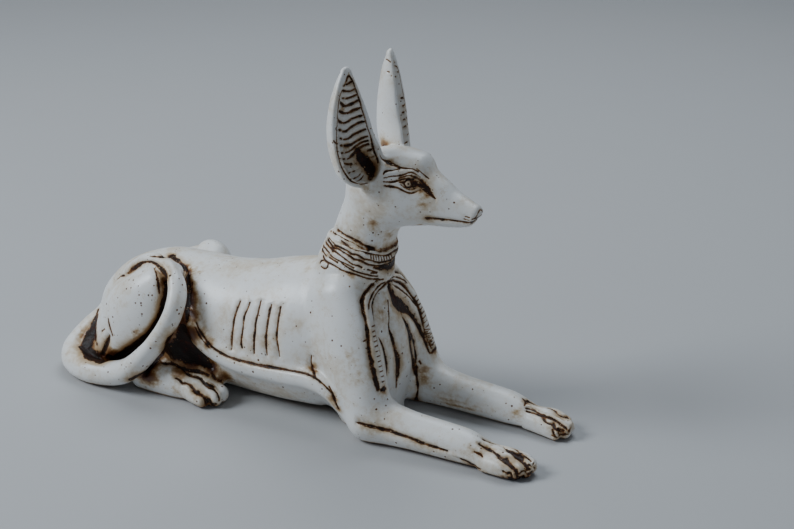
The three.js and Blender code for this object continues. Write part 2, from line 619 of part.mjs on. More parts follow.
// Thins the skin: edges close up in order of how little that moves the planes of the faces round them.
function thinSkin({ points, faces }, wanted) {
  const count = points.length / 3;
  const quadric = new Float64Array(count * 10);
  const around = Array.from({ length: count }, () => []);
  const stamp = new Int32Array(count);
  const gone = new Uint8Array(faces.length / 3);
  const faceNormal = (a, b, c, moved, to) => {
    const p = (v, k) => (v === moved ? to[k] : points[3 * v + k]);
    const e = [0, 1, 2].map((k) => p(b, k) - p(a, k));
    const f = [0, 1, 2].map((k) => p(c, k) - p(a, k));
    return [e[1] * f[2] - e[2] * f[1], e[2] * f[0] - e[0] * f[2], e[0] * f[1] - e[1] * f[0]];
  };
  for (let t = 0; t < faces.length; t += 3) {
    const [a, b, c] = [faces[t], faces[t + 1], faces[t + 2]];
    const n = faceNormal(a, b, c);
    const area = Math.hypot(...n) || 1e-12;
    const [x, y, z] = n.map((v) => v / area);
    const w = -(x * points[3 * a] + y * points[3 * a + 1] + z * points[3 * a + 2]);
    const plane = [x * x, x * y, x * z, x * w, y * y, y * z, y * w, z * z, z * w, w * w];
    for (const v of [a, b, c]) {
      around[v].push(t / 3);
      for (let k = 0; k < 10; k++) quadric[10 * v + k] += (area * plane[k]) / 6;
      const hold = area * 4e-4;
      const [px, py, pz] = [points[3 * v], points[3 * v + 1], points[3 * v + 2]];
      const pull = hold * (px * px + py * py + pz * pz);
      const pin = [hold, 0, 0, -hold * px, hold, 0, -hold * py, hold, -hold * pz, pull];
      for (let k = 0; k < 10; k++) quadric[10 * v + k] += pin[k];
    }
  }
  const costAt = (q, [x, y, z]) =>
    q[0] * x * x + 2 * q[1] * x * y + 2 * q[2] * x * z + 2 * q[3] * x + q[4] * y * y +
    2 * q[5] * y * z + 2 * q[6] * y + q[7] * z * z + 2 * q[8] * z + q[9];
  // The lowest point of a summed quadric, by Cramer's rule.
  const bestPoint = (q) => {
    const [a, b, c, d, e, f, g, h, i] = q;
    const det = a * (e * h - f * f) - b * (b * h - f * c) + c * (b * f - e * c);
    if (Math.abs(det) < 1e-9) return null;
    const x = -(d * (e * h - f * f) - b * (g * h - f * i) + c * (g * f - e * i)) / det;
    const y = -(a * (g * h - i * f) - d * (b * h - f * c) + c * (b * i - g * c)) / det;
    const z = -(a * (e * i - f * g) - b * (b * i - g * c) + d * (b * f - e * c)) / det;
    return [x, y, z];
  };
  const heap = [];
  const push = (item) => {
    let i = heap.push(item) - 1;
    while (i > 0) {
      const up = (i - 1) >> 1;
      if (heap[up].cost <= item.cost) break;
      heap[i] = heap[up];
      i = up;
    }
    heap[i] = item;
  };
  const pop = () => {
    const top = heap[0];
    const item = heap.pop();
    if (!heap.length) return top;
    let i = 0;
    for (;;) {
      let next = 2 * i + 1;
      if (next >= heap.length) break;
      if (next + 1 < heap.length && heap[next + 1].cost < heap[next].cost) next++;
      if (heap[next].cost >= item.cost) break;
      heap[i] = heap[next];
      i = next;
    }
    heap[i] = item;
    return top;
  };
  const corner = (t, k) => faces[3 * t + k];
  const offer = (a, b) => {
    const q = new Float64Array(10);
    for (let k = 0; k < 10; k++) q[k] = quadric[10 * a + k] + quadric[10 * b + k];
    const middle = [0, 1, 2].map((k) => (points[3 * a + k] + points[3 * b + k]) / 2);
    const long = Math.hypot(...[0, 1, 2].map((k) => points[3 * a + k] - points[3 * b + k]));
    let to = bestPoint(q) || middle;
    if (Math.hypot(...[0, 1, 2].map((k) => to[k] - middle[k])) > 1.5 * long) to = middle;
    push({ cost: Math.max(costAt(q, to), 0), a, b, to, stampA: stamp[a], stampB: stamp[b] });
  };
  const neighbours = (v) => {
    const set = new Set();
    for (const t of around[v]) for (let k = 0; k < 3; k++) set.add(corner(t, k));
    set.delete(v);
    return set;
  };
  for (let t = 0; t < faces.length / 3; t++)
    for (let k = 0; k < 3; k++) {
      const [a, b] = [corner(t, k), corner(t, (k + 1) % 3)];
      if (a < b) offer(a, b);
    }
  let left = faces.length / 3;
  while (left > wanted && heap.length) {
    const { a, b, to, stampA, stampB } = pop();
    if (stamp[a] !== stampA || stamp[b] !== stampB) continue;
    const shared = around[a].filter((t) => around[b].includes(t));
    const nearA = neighbours(a);
    const both = [...neighbours(b)].filter((v) => nearA.has(v));
    if (shared.length !== 2 || both.length !== 2) continue;
    const turns = [a, b].some((v) =>
      around[v].some((t) => {
        if (shared.includes(t)) return false;
        const [p, q, r] = [corner(t, 0), corner(t, 1), corner(t, 2)];
        const was = faceNormal(p, q, r);
        const now = faceNormal(p, q, r, v, to);
        const size = Math.hypot(...now);
        const dot = was[0] * now[0] + was[1] * now[1] + was[2] * now[2];
        if (dot < 0.25 * size * Math.hypot(...was)) return true;
        let longest = 0;
        for (const [m, o] of [[p, q], [q, r], [r, p]]) {
          const at = (u, k) => (u === v ? to[k] : points[3 * u + k]);
          longest = Math.max(longest, [0, 1, 2].reduce((s, k) => s + (at(m, k) - at(o, k)) ** 2, 0));
        }
        return size < 0.06 * longest;
      }),
    );
    if (turns) continue;
    for (let k = 0; k < 3; k++) points[3 * a + k] = to[k];
    for (let k = 0; k < 10; k++) quadric[10 * a + k] += quadric[10 * b + k];
    for (const t of shared) {
      gone[t] = 1;
      for (let k = 0; k < 3; k++) around[corner(t, k)] = around[corner(t, k)].filter((u) => u !== t);
    }
    for (const t of around[b]) {
      for (let k = 0; k < 3; k++) if (corner(t, k) === b) faces[3 * t + k] = a;
      around[a].push(t);
    }
    around[b] = [];
    left -= 2;
    stamp[a]++;
    stamp[b]++;
    for (const v of neighbours(a)) offer(a, v);
  }
  return { points, faces: faces.filter((_, i) => !gone[Math.floor(i / 3)]) };
}

// The used corners only, numbered again.
function packed({ points, faces }) {
  const place = new Map();
  const out = [];
  const index = Array.from(faces, (v) => {
    if (!place.has(v)) {
      place.set(v, place.size);
      out.push(points[3 * v], points[3 * v + 1], points[3 * v + 2]);
    }
    return place.get(v);
  });
  return { vertProperties: Float32Array.from(out), triVerts: Uint32Array.from(index) };
}

const low = [-176, -64, -9];
const high = [170, 56, 221];
const skin = packed(thinSkin(drawSkin(low, high, gridStep), skinTriangles));

// The cast stands flat: everything under the ground plane is cut away.
const wasm = await Module();
wasm.setup();
const solid = new wasm.Manifold(new wasm.Mesh({ numProp: 3, ...skin }));
const block = mergeVertices(
  new THREE.BoxGeometry(500, 300, 60).translate(0, 0, -30).deleteAttribute("uv").deleteAttribute("normal"),
);
const underground = new wasm.Manifold(
  new wasm.Mesh({
    numProp: 3,
    vertProperties: Float32Array.from(block.getAttribute("position").array),
    triVerts: Uint32Array.from(block.getIndex().array),
  }),
);
const standing = solid.subtract(underground);

const made = standing.getMesh();
const geometry = new THREE.BufferGeometry();
const positions = new Float32Array(made.numVert * 3);
for (let i = 0; i < made.numVert; i++)
  positions.set(made.vertProperties.subarray(i * made.numProp, i * made.numProp + 3), 3 * i);
geometry.setAttribute("position", new THREE.BufferAttribute(positions, 3));
geometry.setIndex(new THREE.BufferAttribute(made.triVerts, 1));
geometry.translate(-middleX, -middleY, 0);
geometry.computeVertexNormals();
const plaster = new THREE.MeshStandardMaterial({ color: 0xdcd8d0, roughness: 0.42, metalness: 0 });
const figure = new THREE.Mesh(geometry, plaster);
figure.name = "jackal_figure";
const group = new THREE.Group();
group.add(figure);

export default group;
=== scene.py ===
# A recumbent jackal figurine, cast in one piece, painted ivory and washed with brown.
# Lengths in the tables are millimetres from a point under the chest; toPlace brings them to the frame.
import math

import bmesh
import bpy
import numpy as np
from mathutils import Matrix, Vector


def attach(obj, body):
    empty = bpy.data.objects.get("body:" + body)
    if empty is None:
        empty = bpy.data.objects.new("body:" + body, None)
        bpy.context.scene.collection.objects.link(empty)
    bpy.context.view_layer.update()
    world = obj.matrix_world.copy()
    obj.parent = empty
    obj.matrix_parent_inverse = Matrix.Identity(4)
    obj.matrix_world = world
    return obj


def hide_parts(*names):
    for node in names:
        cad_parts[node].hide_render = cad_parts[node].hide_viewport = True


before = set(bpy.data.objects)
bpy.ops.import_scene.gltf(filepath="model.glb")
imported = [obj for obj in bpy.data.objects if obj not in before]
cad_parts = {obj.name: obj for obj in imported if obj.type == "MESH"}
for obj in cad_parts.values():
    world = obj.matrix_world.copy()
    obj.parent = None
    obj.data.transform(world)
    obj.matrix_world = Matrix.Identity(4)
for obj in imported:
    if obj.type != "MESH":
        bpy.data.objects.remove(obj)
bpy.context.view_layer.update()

form = {
    "toPlace": (3.36, 5.51, 0.0),
    "low": (-168.0, -62.0, -2.0),  # the box that the skin is looked for in
    "high": (163.0, 52.0, 218.0),
    "step": 0.7,  # spacing of the grid that the skin is drawn from
    "quickStep": 1.1,
    "coarse": 4,  # the field is first looked at every so many steps
    "firstTriangles": 128000,
    "keepNear": 0.9,  # no point nearer a painted line than this is thinned away
    "refineNear": 0.45,  # edges this near a painted line, or this far inside one, are split
    "refineInside": 0.5,
    "refineEdge": 0.5,
    "farSide": (2, 30),  # past this y the flank keeps the coarser mesh, up to this x
    "limbMargin": 8,  # a limb is worked out only this near its rows, and counts as farOff beyond
    "farOff": 40.0,
    "hindPart": -55,  # the two sides differ behind this x
    "tiny": 1e-6,
}
# How far a form runs into what was joined before it.
blend = {
    "body": [("torso", 0), ("neck", 9), ("upperArm", 9), ("haunchFold", 6), ("loopFloor", 4),
             ("bellyBand", 2.5), ("shank", 6)],
    "head": [("head", 0), ("forehead", 5)],
    "headOnNeck": 7,
    "nose": 2.2,
    "toe": 1.4,
    "hindFoot": 4,
    "foreLeg": 7,
    "thigh": 6,
    "tail": (2, 5.5),  # along the loop, and how much more over its end
    "tailEndX": (-86, -102),
    "tailEndZ": (55, 65),
}
nose = {
    "planes": ((110.9, 138.5, 0.3), (107.3, 131.5, -0.62)),  # x, z and slant of the cuts that blunt it
    "from": 90,
    "uncut": -9,
}
recess = {
    "line": [
        (-133, 56), (-123, 63), (-113.5, 69.5), (-106, 75), (-97, 79), (-89, 79), (-82.5, 75), (-80, 68),
        (-80, 61), (-81.5, 54), (-86, 44), (-96, 31.5), (-109, 21.5), (-121, 14), (-133, 11)],
    "share": (0, 0.1, 0.3, 0.45, 0.6, 0.9, 1),
    "depth": (0, 1.2, 2, 4, 4, 4, 1),
    "half": 2.6,
    "side": (-12, -20),  # it is cut only past this y
}
collar = {
    "proud": 2.3,
    "low": (88.5, 0.02, 6),  # its level, its fall for each mm of x, and the x where the level holds
    "high": (112, 0.09, 17),
    "edge": 1.2,
    "blend": 0.6,
    "aroundX": (-2, 66),
    "aroundZ": (80, 120),
}
ear = {
    "facing": math.radians(20),
    "from": 138,
    "wall": 3.5,
    "hollowShift": 0.9,  # how far the hollow lies to the inner side
    "hollowFloor": 151.8,
    "hollowUp": 7,
    "hollowEdge": 2,
    "faceUp": 0.8,  # the ear is cut level here, in front
    "faceEdge": 1.6,
    "rimEdge": 1.2,
    "root": (3, 5),  # how far it runs into the head, and how much more at its foot
    "rootZ": (164, 155),
}
# Shallow dents and swellings of the face: x, y, z, radius, depth.
dents = [
    (80, -14, 150.5, 5.5, 1.2), (88, -10, 144.5, 4.5, 0.7), (76, -12.5, 158, 4, -0.6),
    (82, -14, 141.5, 6, -0.5)]

# Each limb is an ellipse carried along a curve: x, y, z, half its width, half its height.
# facing is where the height points, and cap is how far the end bulges, in units of the smaller half size.
limbTable = {
    "torso": {"rows": [(-152, 0, 17, 9, 11), (-145, 0, 22.5, 16, 18.5), (-134, 0, 29, 23, 27),
        (-119, 0, 34.5, 28.5, 34.5), (-100, 0, 37.5, 32, 39.5), (-80, 0, 38, 33.5, 40),
        (-55, 0, 38.5, 34.5, 40), (-30, 0, 40, 36.5, 42), (-8, 0, 43, 38, 44.5), (12, 0, 45.5, 36.5, 45.5),
        (28, 0, 45, 32, 42), (38, 0, 46, 26, 36)]},
    "neck": {"facing": (1, 0, 0), "rows": [(41, 0, 2, 23, 18), (38, 0, 30, 30, 24), (35, 0, 55, 30, 24),
        (31.5, 0, 74, 26, 22.5), (30.5, 0, 88, 20.5, 21), (34, 0, 101, 18.3, 19), (38, 0, 114, 17.2, 18),
        (43.3, 0, 128, 16.8, 17.6), (49, 0, 140, 17, 17)]},
    "head": {"rows": [(46, 0, 146, 18.5, 17), (56, 0, 144.5, 20.5, 21), (66, 0, 143, 19.6, 21.4),
        (75, 0, 141, 16, 18), (83, 0, 139.2, 12.6, 14.6), (92, 0, 136.8, 10, 11.2), (100, 0, 135.6, 8, 8.6),
        (105.5, 0, 134.8, 6.8, 6.8)]},
    "forehead": {"cap": 0.75, "rows": [(50, 0, 157.5, 13, 7.5), (62, 0, 158, 12.5, 8.2),
        (74, 0, 158, 9.5, 7.8)]},
    "upperArm": {"facing": (0, -1, 0), "rows": [(32, -19, 79, 15.5, 12.5), (39, -24.5, 62, 18, 13.5),
        (45.5, -28, 45, 17.6, 13.5), (54, -30, 28, 14.2, 13), (58, -30.5, 15, 12.5, 12)]},
    "foreLeg": {"rows": [(57.5, -30, 12, 11.5, 12.5), (70, -29.3, 12, 11, 12.6),
        (85, -28.8, 11, 10.8, 10.8), (100, -28.3, 10.3, 10.4, 10.3), (117, -28, 9.4, 10.2, 9.7),
        (128, -28, 7.6, 9.8, 7.4), (136, -28, 6.2, 8.4, 5.4)]},
    "thigh": {"facing": (0, -1, 0), "rows": [(-82, -25, 74, 6, 7), (-88, -29, 67, 13.5, 11.5),
        (-97, -31.5, 56, 19, 14.8), (-106, -32, 44.5, 21.5, 16), (-115, -32.5, 32, 19, 15),
        (-122, -34.5, 21, 12.5, 11.5), (-127, -36.5, 12.5, 6.5, 7.5), (-129, -37, 8, 4, 5)]},
    "farThigh": {"facing": (0, -1, 0), "rows": [(-93, -31, 62.5, 12.4, 10.5), (-101, -31, 51, 20.5, 15.5),
        (-112, -31, 38, 21.5, 16), (-121, -33, 25, 15, 13), (-127, -36, 14, 7.5, 8),
        (-129, -37, 8.5, 4, 5)]},
    "haunchFold": {"facing": (0, -1, 0), "rows": [(-129, -20, 42, 7, 8), (-135, -25, 31, 6.5, 8),
        (-134, -31, 19, 4.5, 6)]},
    "shank": {"facing": (0, -1, 0), "rows": [(-84, -28, 44, 14, 12), (-72, -30, 26, 12, 10),
        (-55, -29, 14, 9, 9)]},
    "hindFoot": {"rows": [(-98, -38, 8, 9, 9.5), (-84, -38, 9, 10, 11), (-70, -37.5, 9.5, 10.5, 11),
        (-58, -37, 8.6, 10, 8.4), (-50, -37, 7, 8.6, 5.6)]},
    "bellyBand": {"facing": (0.05, 0, 1), "rows": [(-72, -32, 54, 4, 5), (-62, -34.5, 44, 5.5, 6.5),
        (-47, -34.5, 35, 5.8, 6.8), (-28, -34.5, 30.3, 5.8, 7), (0, -34.5, 30, 5.8, 6.8),
        (20, -35, 31, 5.8, 6.4), (35, -36, 27.5, 5.4, 6), (46, -35, 17, 5, 5.5), (54, -33, 8, 4, 4)]},
    "loopFloor": {"facing": (0, -1, 0), "rows": [(-146, -10, 24, 10, 11), (-143, -26.5, 8, 12, 14),
        (-124, -28, 11, 14, 14), (-104, -25, 22, 14, 12), (-91, -29, 14, 11, 11)]},
    "tail": {"facing": (0, -1, 0.3), "rows": [(-128, 0, 38, 8, 8), (-143, -8, 30, 8, 8),
        (-153.5, -19.5, 20, 8, 8.4), (-156.5, -33, 10.5, 8, 8.4), (-146.5, -44.5, 8, 8, 8.2),
        (-128, -50, 8, 8, 8), (-104, -51, 13.5, 7.4, 7.8), (-86, -50.5, 29, 5.9, 7.6),
        (-73.6, -48.5, 45, 5.4, 7.4), (-68.2, -44, 59, 5.4, 6.8), (-70.7, -36.5, 69.5, 5, 6.2),
        (-78.5, -31, 76.2, 4.9, 5.4), (-88, -27, 79, 4.8, 4.8), (-98, -24.5, 78.5, 4.6, 4.4),
        (-108, -23.5, 74, 4.4, 4), (-117, -23.5, 67, 3.4, 3)]},
    "ear": {"facing": (math.cos(ear["facing"]), -math.sin(ear["facing"]), 0), "rows": [
        (53, -21.2, 150.5, 5, 4.4), (52.6, -21.9, 153, 8.6, 7.6), (51.7, -22.8, 156.5, 12.2, 11.2),
        (50.4, -24, 161.5, 14.8, 14.2), (48.8, -25.6, 167.5, 15, 15.3), (46.8, -26.8, 175, 14.3, 14.9),
        (45, -27.1, 185, 13.4, 13.2), (43.5, -26.8, 195, 10.9, 10.6), (42.3, -25.9, 204, 7.4, 7.6),
        (41.6, -25, 209.5, 5, 5), (41.3, -24.5, 212, 3.6, 3.4)]},
}
foreToes = [
    [(132, -34, 5.5, 4.6, 5), (143, -34.6, 6, 4.9, 5.4), (151, -33.6, 5, 4.4, 4.6)],
    [(132, -29.5, 8, 4, 5), (145, -29.6, 7.4, 4.1, 5.4), (155, -28.8, 5, 3.9, 4.8)],
    [(132, -25, 8, 3.6, 5), (146, -24.4, 7.4, 3.8, 5.4), (155.5, -23.4, 5, 3.7, 4.8)],
    [(132, -21.5, 6.5, 3.4, 5), (143, -20, 6, 3.4, 5), (151.5, -18.8, 4.6, 3.2, 4.4)],
]
hindToes = [
    [(-66, -42, 8.4, 4, 6), (-58, -44, 7.2, 4.9, 6), (-49.8, -45.4, 5, 4.3, 4.8)],
    [(-62, -37.6, 9.5, 4, 7), (-51.5, -39.5, 8.4, 4.9, 6.8), (-43.6, -41, 5.6, 4.4, 5.2)],
    [(-62, -33, 9, 4, 7), (-52, -33.6, 8, 4.4, 6.4), (-43, -35, 6, 4.2, 5.6)],
]


def smoothMin(a, b, reach):
    # the lesser of the two, less the square of how nearly they meet, so that two forms run into each other
    near = np.maximum(reach - np.abs(a - b), 0.0) / reach
    return np.minimum(a, b) - near * near * reach / 4


def smoothMax(a, b, reach):
    # the greater of the two, rounded in the same way where they meet
    return -smoothMin(-a, -b, reach)


def ease(value):
    # 0 to 1 with level ends: 3 t squared less 2 t cubed
    t = np.clip(value, 0.0, 1.0)
    return t * t * (3 - 2 * t)


def rise(value, start, end):
    # eased from 0 at start to 1 at end; end may be the lesser
    return ease((value - start) / (end - start))


def smoothRows(rows, perSpan):
    # a Catmull-Rom curve through the rows: each span is a cubic whose end slopes come from the rows beside it
    rows = np.asarray(rows, float)
    ends = np.vstack([2 * rows[0] - rows[1], rows, 2 * rows[-1] - rows[-2]])
    t = np.arange((len(rows) - 1) * perSpan + 1) / perSpan
    i = np.minimum(t.astype(int), len(rows) - 2)
    u = (t - i)[:, None]
    a, b, c, d = (ends[i + k] for k in range(4))
    return b + 0.5 * ((c - a) * u + (2 * a - 5 * b + 4 * c - d) * u**2 + (3 * b - a - 3 * c + d) * u**3)


def nearestOn(line, points):
    # the place on a chain of points that lies nearest each point, counted in spans, and the gap squared:
    # the foot of the perpendicular on the spans before and after the nearest corner
    best = np.full(len(points), np.inf)
    place = np.zeros(len(points))
    start = ((line * line).sum(1) - 2 * points @ line.T).argmin(1)
    for first in (start - 1, start):
        i = np.clip(first, 0, len(line) - 2)
        span = line[i + 1] - line[i]
        off = points - line[i]
        h = np.clip((off * span).sum(1) / (span * span).sum(1), 0, 1)
        gap = ((off - h[:, None] * span) ** 2).sum(1)
        closer = gap < best
        best[closer] = gap[closer]
        place[closer] = (i + h)[closer]
    return place, best


def unit(v):
    # the same direction, one long
    return v / np.maximum(np.linalg.norm(v, axis=-1, keepdims=True), 1e-12)


class Limb:
    # an ellipse carried along a smooth curve: its centre, three directions and two half sizes at each step
    def __init__(self, rows, facing=(0, 0, 1), cap=1.0):
        line = smoothRows(rows, 6)
        self.centre = line[:, :3]
        half = np.maximum(line[:, 3:5], 0.4)
        after = np.vstack([line[1:2], line[2:], line[-1:]])
        before = np.vstack([line[:1], line[:-2], line[-2:-1]])
        along = unit(after[:, :3] - before[:, :3])
        across = unit(np.cross(np.asarray(facing, float), along))
        self.table = np.hstack([self.centre, across, np.cross(along, across), along, half])
        self.cap = cap
        self.low = (self.centre - half.max(1)[:, None] - form["limbMargin"]).min(0)
        self.high = (self.centre + half.max(1)[:, None] + form["limbMargin"]).max(0)

    def locate(self, points):
        # the offset from the nearest place on the curve, across, up and past the end, and the half sizes
        place = nearestOn(self.centre, points)[0]
        i = np.minimum(place.astype(int), len(self.centre) - 2)
        f = (place - i)[:, None]
        row = self.table[i] * (1 - f) + self.table[i + 1] * f
        off = points - row[:, :3]
        return {
            "across": (off * row[:, 3:6]).sum(1),
            "up": (off * row[:, 6:9]).sum(1),
            "past": (off * row[:, 9:12]).sum(1) / self.cap,
            "half": row[:, 12:14],
        }

    def distance(self, points):
        # the distance to the limb's skin near it, and farOff elsewhere
        out = np.full(len(points), form["farOff"])
        close = ((points > self.low) & (points < self.high)).all(1)
        if close.any():
            out[close] = ellipseDistance(self.locate(points[close]), 0)
        return out


def ellipseDistance(at, inset):
    # k0 is the offset in units of the half sizes, and k0 (k0 - 1) / k1 is nearly the distance
    a = np.maximum(at["half"][:, 0] - inset, 0.3)
    u = np.maximum(at["half"][:, 1] - inset, 0.3)
    e = np.minimum(a, u)
    k0 = np.sqrt((at["across"] / a) ** 2 + (at["up"] / u) ** 2 + (at["past"] / e) ** 2)
    k1 = np.sqrt((at["across"] / a**2) ** 2 + (at["up"] / u**2) ** 2 + (at["past"] / e**2) ** 2)
    return np.where(k1 > form["tiny"], k0 * (k0 - 1) / np.maximum(k1, form["tiny"]), -e)


limbs = {name: Limb(**row) for name, row in limbTable.items()}
foreToeLimbs = [Limb(rows) for rows in foreToes]
hindToeLimbs = [Limb(rows) for rows in hindToes]
recessCurve = smoothRows(recess["line"], 5)


def joined(points, names):
    # the first limb, with each next one run into it
    d = limbs[names[0][0]].distance(points)
    for name, reach in names[1:]:
        d = smoothMin(d, limbs[name].distance(points), reach)
    return d


def footed(points, name, toes):
    # a leg or foot with its toes run into it
    d = limbs[name].distance(points)
    for toe in toes:
        d = smoothMin(d, toe.distance(points), blend["toe"])
    return d


def bodyField(points):
    # everything that is alike on both sides; y is never above zero here
    d = joined(points, blend["body"])
    head = joined(points, blend["head"])
    for x, z, slant in nose["planes"]:
        ahead = (points[:, 0] - x) * math.cos(slant) + (points[:, 2] - z) * math.sin(slant)
        head = smoothMax(head, np.where(points[:, 0] > nose["from"], ahead, nose["uncut"]), blend["nose"])
    d = smoothMin(d, head, blend["headOnNeck"])
    d = smoothMin(d, footed(points, "hindFoot", hindToeLimbs), blend["hindFoot"])
    return smoothMin(d, footed(points, "foreLeg", foreToeLimbs), blend["foreLeg"])


def addHindPart(points, near, d):
    # the thighs; the recess round the near one, its depth times e to the minus square of the gap over its
    # half width; and the tail
    x, y, z = points.T
    side = np.where(y < 0, limbs["thigh"].distance(near), limbs["farThigh"].distance(near))
    d = smoothMin(d, side, blend["thigh"])
    place, gap = nearestOn(recessCurve, points[:, [0, 2]])
    deep = np.interp(place / (len(recessCurve) - 1), recess["share"], recess["depth"])
    d += deep * np.exp(-gap / recess["half"] ** 2) * rise(y, *recess["side"])
    least, more = blend["tail"]
    reach = least + more * rise(x, *blend["tailEndX"]) * rise(z, *blend["tailEndZ"])
    return smoothMin(d, limbs["tail"].distance(points), reach)


def addCollar(points, d):
    # the neck's own skin moved outwards, between two slanting levels
    levels = []
    for level, fall, place in (collar["low"], collar["high"]):
        levels.append(level - fall * (points[:, 0] - place))
    ring = limbs["neck"].distance(points) - collar["proud"]
    band = np.maximum(levels[0] - points[:, 2], points[:, 2] - levels[1])
    return smoothMin(d, smoothMax(ring, band, collar["edge"]), collar["blend"])


def addEar(points, d):
    # a limb cut level in front, run into the head, less the same limb shrunk by the wall and moved inwards
    at = limbs["ear"].locate(points)
    z = points[:, 2]
    cup = smoothMax(ellipseDistance(at, 0), at["up"] - ear["faceUp"], ear["faceEdge"])
    at["across"] += ear["hollowShift"]
    space = np.maximum(at["up"] - ear["hollowUp"], ear["hollowFloor"] - z)
    hollow = smoothMax(ellipseDistance(at, ear["wall"]), space, ear["hollowEdge"])
    rooted = smoothMin(d, cup, ear["root"][0] + ear["root"][1] * rise(z, *ear["rootZ"]))
    return smoothMax(rooted, -hollow, ear["rimEdge"])


def between(value, limits):
    # which values lie inside the two limits
    return (value > limits[0]) & (value < limits[1])


def formField(points):
    # the whole form before its fine carving: the distance to its skin in millimetres, below zero inside
    p = points.copy()
    p[:, 1] = -np.abs(p[:, 1])
    d = bodyField(p)
    m = points[:, 0] < form["hindPart"]
    d[m] = addHindPart(points[m], p[m], d[m])
    m = between(p[:, 2], collar["aroundZ"]) & between(p[:, 0], collar["aroundX"])
    d[m] = addCollar(p[m], d[m])
    for x, y, z, radius, depth in dents:
        d += depth * np.exp(-((p - (x, y, z)) ** 2).sum(1) / radius**2)
    m = (p[:, 2] > ear["from"]) & ((p > limbs["ear"].low) & (p < limbs["ear"].high)).all(1)
    d[m] = addEar(p[m], d[m])
    return d


def inChunks(field, points, size=120000):
    # the field of many points, some at a time to save memory
    return np.concatenate([field(points[s:s + size]) for s in range(0, len(points), size)])


def parted(inside, value):
    # where two inside corners of a cell's face touch only across it, the one nearer the skin is put outside,
    # so that no edge of the skin is shared by more than two faces
    for _ in range(4):
        for axis in range(3):
            u, w = np.zeros(3, int), np.zeros(3, int)
            u[(axis + 1) % 3], w[(axis + 2) % 3] = 1, 1
            size = np.array(inside.shape) - u - w
            corner = [inside[tuple(slice(a, a + n) for a, n in zip(k, size))] for k in (0 * u, u, w, u + w)]
            clash = (corner[0] == corner[3]) & (corner[1] == corner[2]) & (corner[0] != corner[1])
            at = np.argwhere(clash)
            first = np.where(corner[0][clash][:, None], at, at + u)
            second = np.where(corner[0][clash][:, None], at + u + w, at + w)
            weaker = np.where((value[tuple(first.T)] > value[tuple(second.T)])[:, None], first, second)
            inside[tuple(weaker.T)] = False
            value[tuple(weaker.T)] = np.maximum(value[tuple(weaker.T)], 0.01)
    return inside


def fieldOnGrid(field, low, high, step):
    # the field's value on every grid point near the skin, and its coarse value elsewhere
    coarse = form["coarse"]
    count = np.ceil((high - low) / (step * coarse)).astype(int) * coarse + 1
    axes = [low[a] + step * coarse * np.arange((count[a] - 1) // coarse + 1) for a in range(3)]
    rough = inChunks(field, np.stack(np.meshgrid(*axes, indexing="ij"), -1).reshape(-1, 3))
    rough = rough.reshape([len(a) for a in axes])
    corners = [rough[a:a - 1 or None, b:b - 1 or None, c:c - 1 or None] for a, b, c in np.ndindex(2, 2, 2)]
    least, most = np.minimum.reduce(corners), np.maximum.reduce(corners)
    live = (least < 0.6 * step * coarse) & (most > -0.6 * step * coarse)
    value = np.repeat(np.repeat(np.repeat(rough, coarse, 0), coarse, 1), coarse, 2)
    value = value[:count[0], :count[1], :count[2]].astype(np.float32)
    needed = np.zeros(count, bool)
    start = np.argwhere(live) * coarse
    for offset in np.ndindex(*[coarse + 1] * 3):
        needed[tuple((start + offset).T)] = True
    value[needed] = inChunks(field, low + np.argwhere(needed) * step)
    return value


def drawSkin(field, low, high, step):
    # a surface net: one point in every cell that the skin crosses, at the mean of the crossings of its edges,
    # and a face of four points across every grid edge that the skin crosses
    low, high = np.array(low), np.array(high)
    value = fieldOnGrid(field, low, high, step)
    count = np.array(value.shape)
    inside = value < 0
    for side in (inside[0], inside[-1], inside[:, 0], inside[:, -1], inside[:, :, 0], inside[:, :, -1]):
        side[...] = False
    inside = parted(inside, value)
    total = np.zeros(count - 1, np.int8)
    for a, b, c in np.ndindex(2, 2, 2):
        total += inside[a:count[0] - 1 + a, b:count[1] - 1 + b, c:count[2] - 1 + c]
    cells = np.argwhere((total > 0) & (total < 8))
    number = np.full(count - 1, -1, np.int32)
    number[tuple(cells.T)] = np.arange(len(cells))
    summed, crossings = np.zeros((len(cells), 3)), np.zeros(len(cells))
    for axis, a, b in np.ndindex(3, 2, 2):
        near = np.zeros(3, int)
        near[(axis + 1) % 3], near[(axis + 2) % 3] = a, b
        far = near.copy()
        far[axis] = 1
        f0, f1 = value[tuple((cells + near).T)], value[tuple((cells + far).T)]
        cross = inside[tuple((cells + near).T)] != inside[tuple((cells + far).T)]
        point = np.tile(near.astype(float), (len(cells), 1))
        point[:, axis] = np.clip(f0 / np.where(f0 == f1, 1, f0 - f1), 0, 1)
        summed[cross] += point[cross]
        crossings[cross] += 1
    skin = low + (cells + summed / crossings[:, None]) * step
    quads = []
    for axis in range(3):
        reach = np.zeros(3, int)
        reach[axis] = 1
        here = inside[:count[0] - reach[0], :count[1] - reach[1], :count[2] - reach[2]]
        there = inside[reach[0]:, reach[1]:, reach[2]:]
        edge = np.argwhere(here != there)
        ring = []
        for da, db in ((-1, -1), (0, -1), (0, 0), (-1, 0)):
            cell = edge.copy()
            cell[:, (axis + 1) % 3] += da
            cell[:, (axis + 2) % 3] += db
            ring.append(number[tuple(cell.T)])
        ring = np.stack(ring, 1)
        turned = ~here[tuple(edge.T)]
        ring[turned] = ring[turned][:, ::-1]
        quads.append(ring)
    return skin, np.vstack(quads)


def slope(field, points, reach=0.25):
    # the outward normal, from the field's change along the four corners of a tetrahedron
    corners = np.array([(1, 1, 1), (1, -1, -1), (-1, 1, -1), (-1, -1, 1)], float)
    return unit(sum(inChunks(field, points + reach * c)[:, None] * c for c in corners))


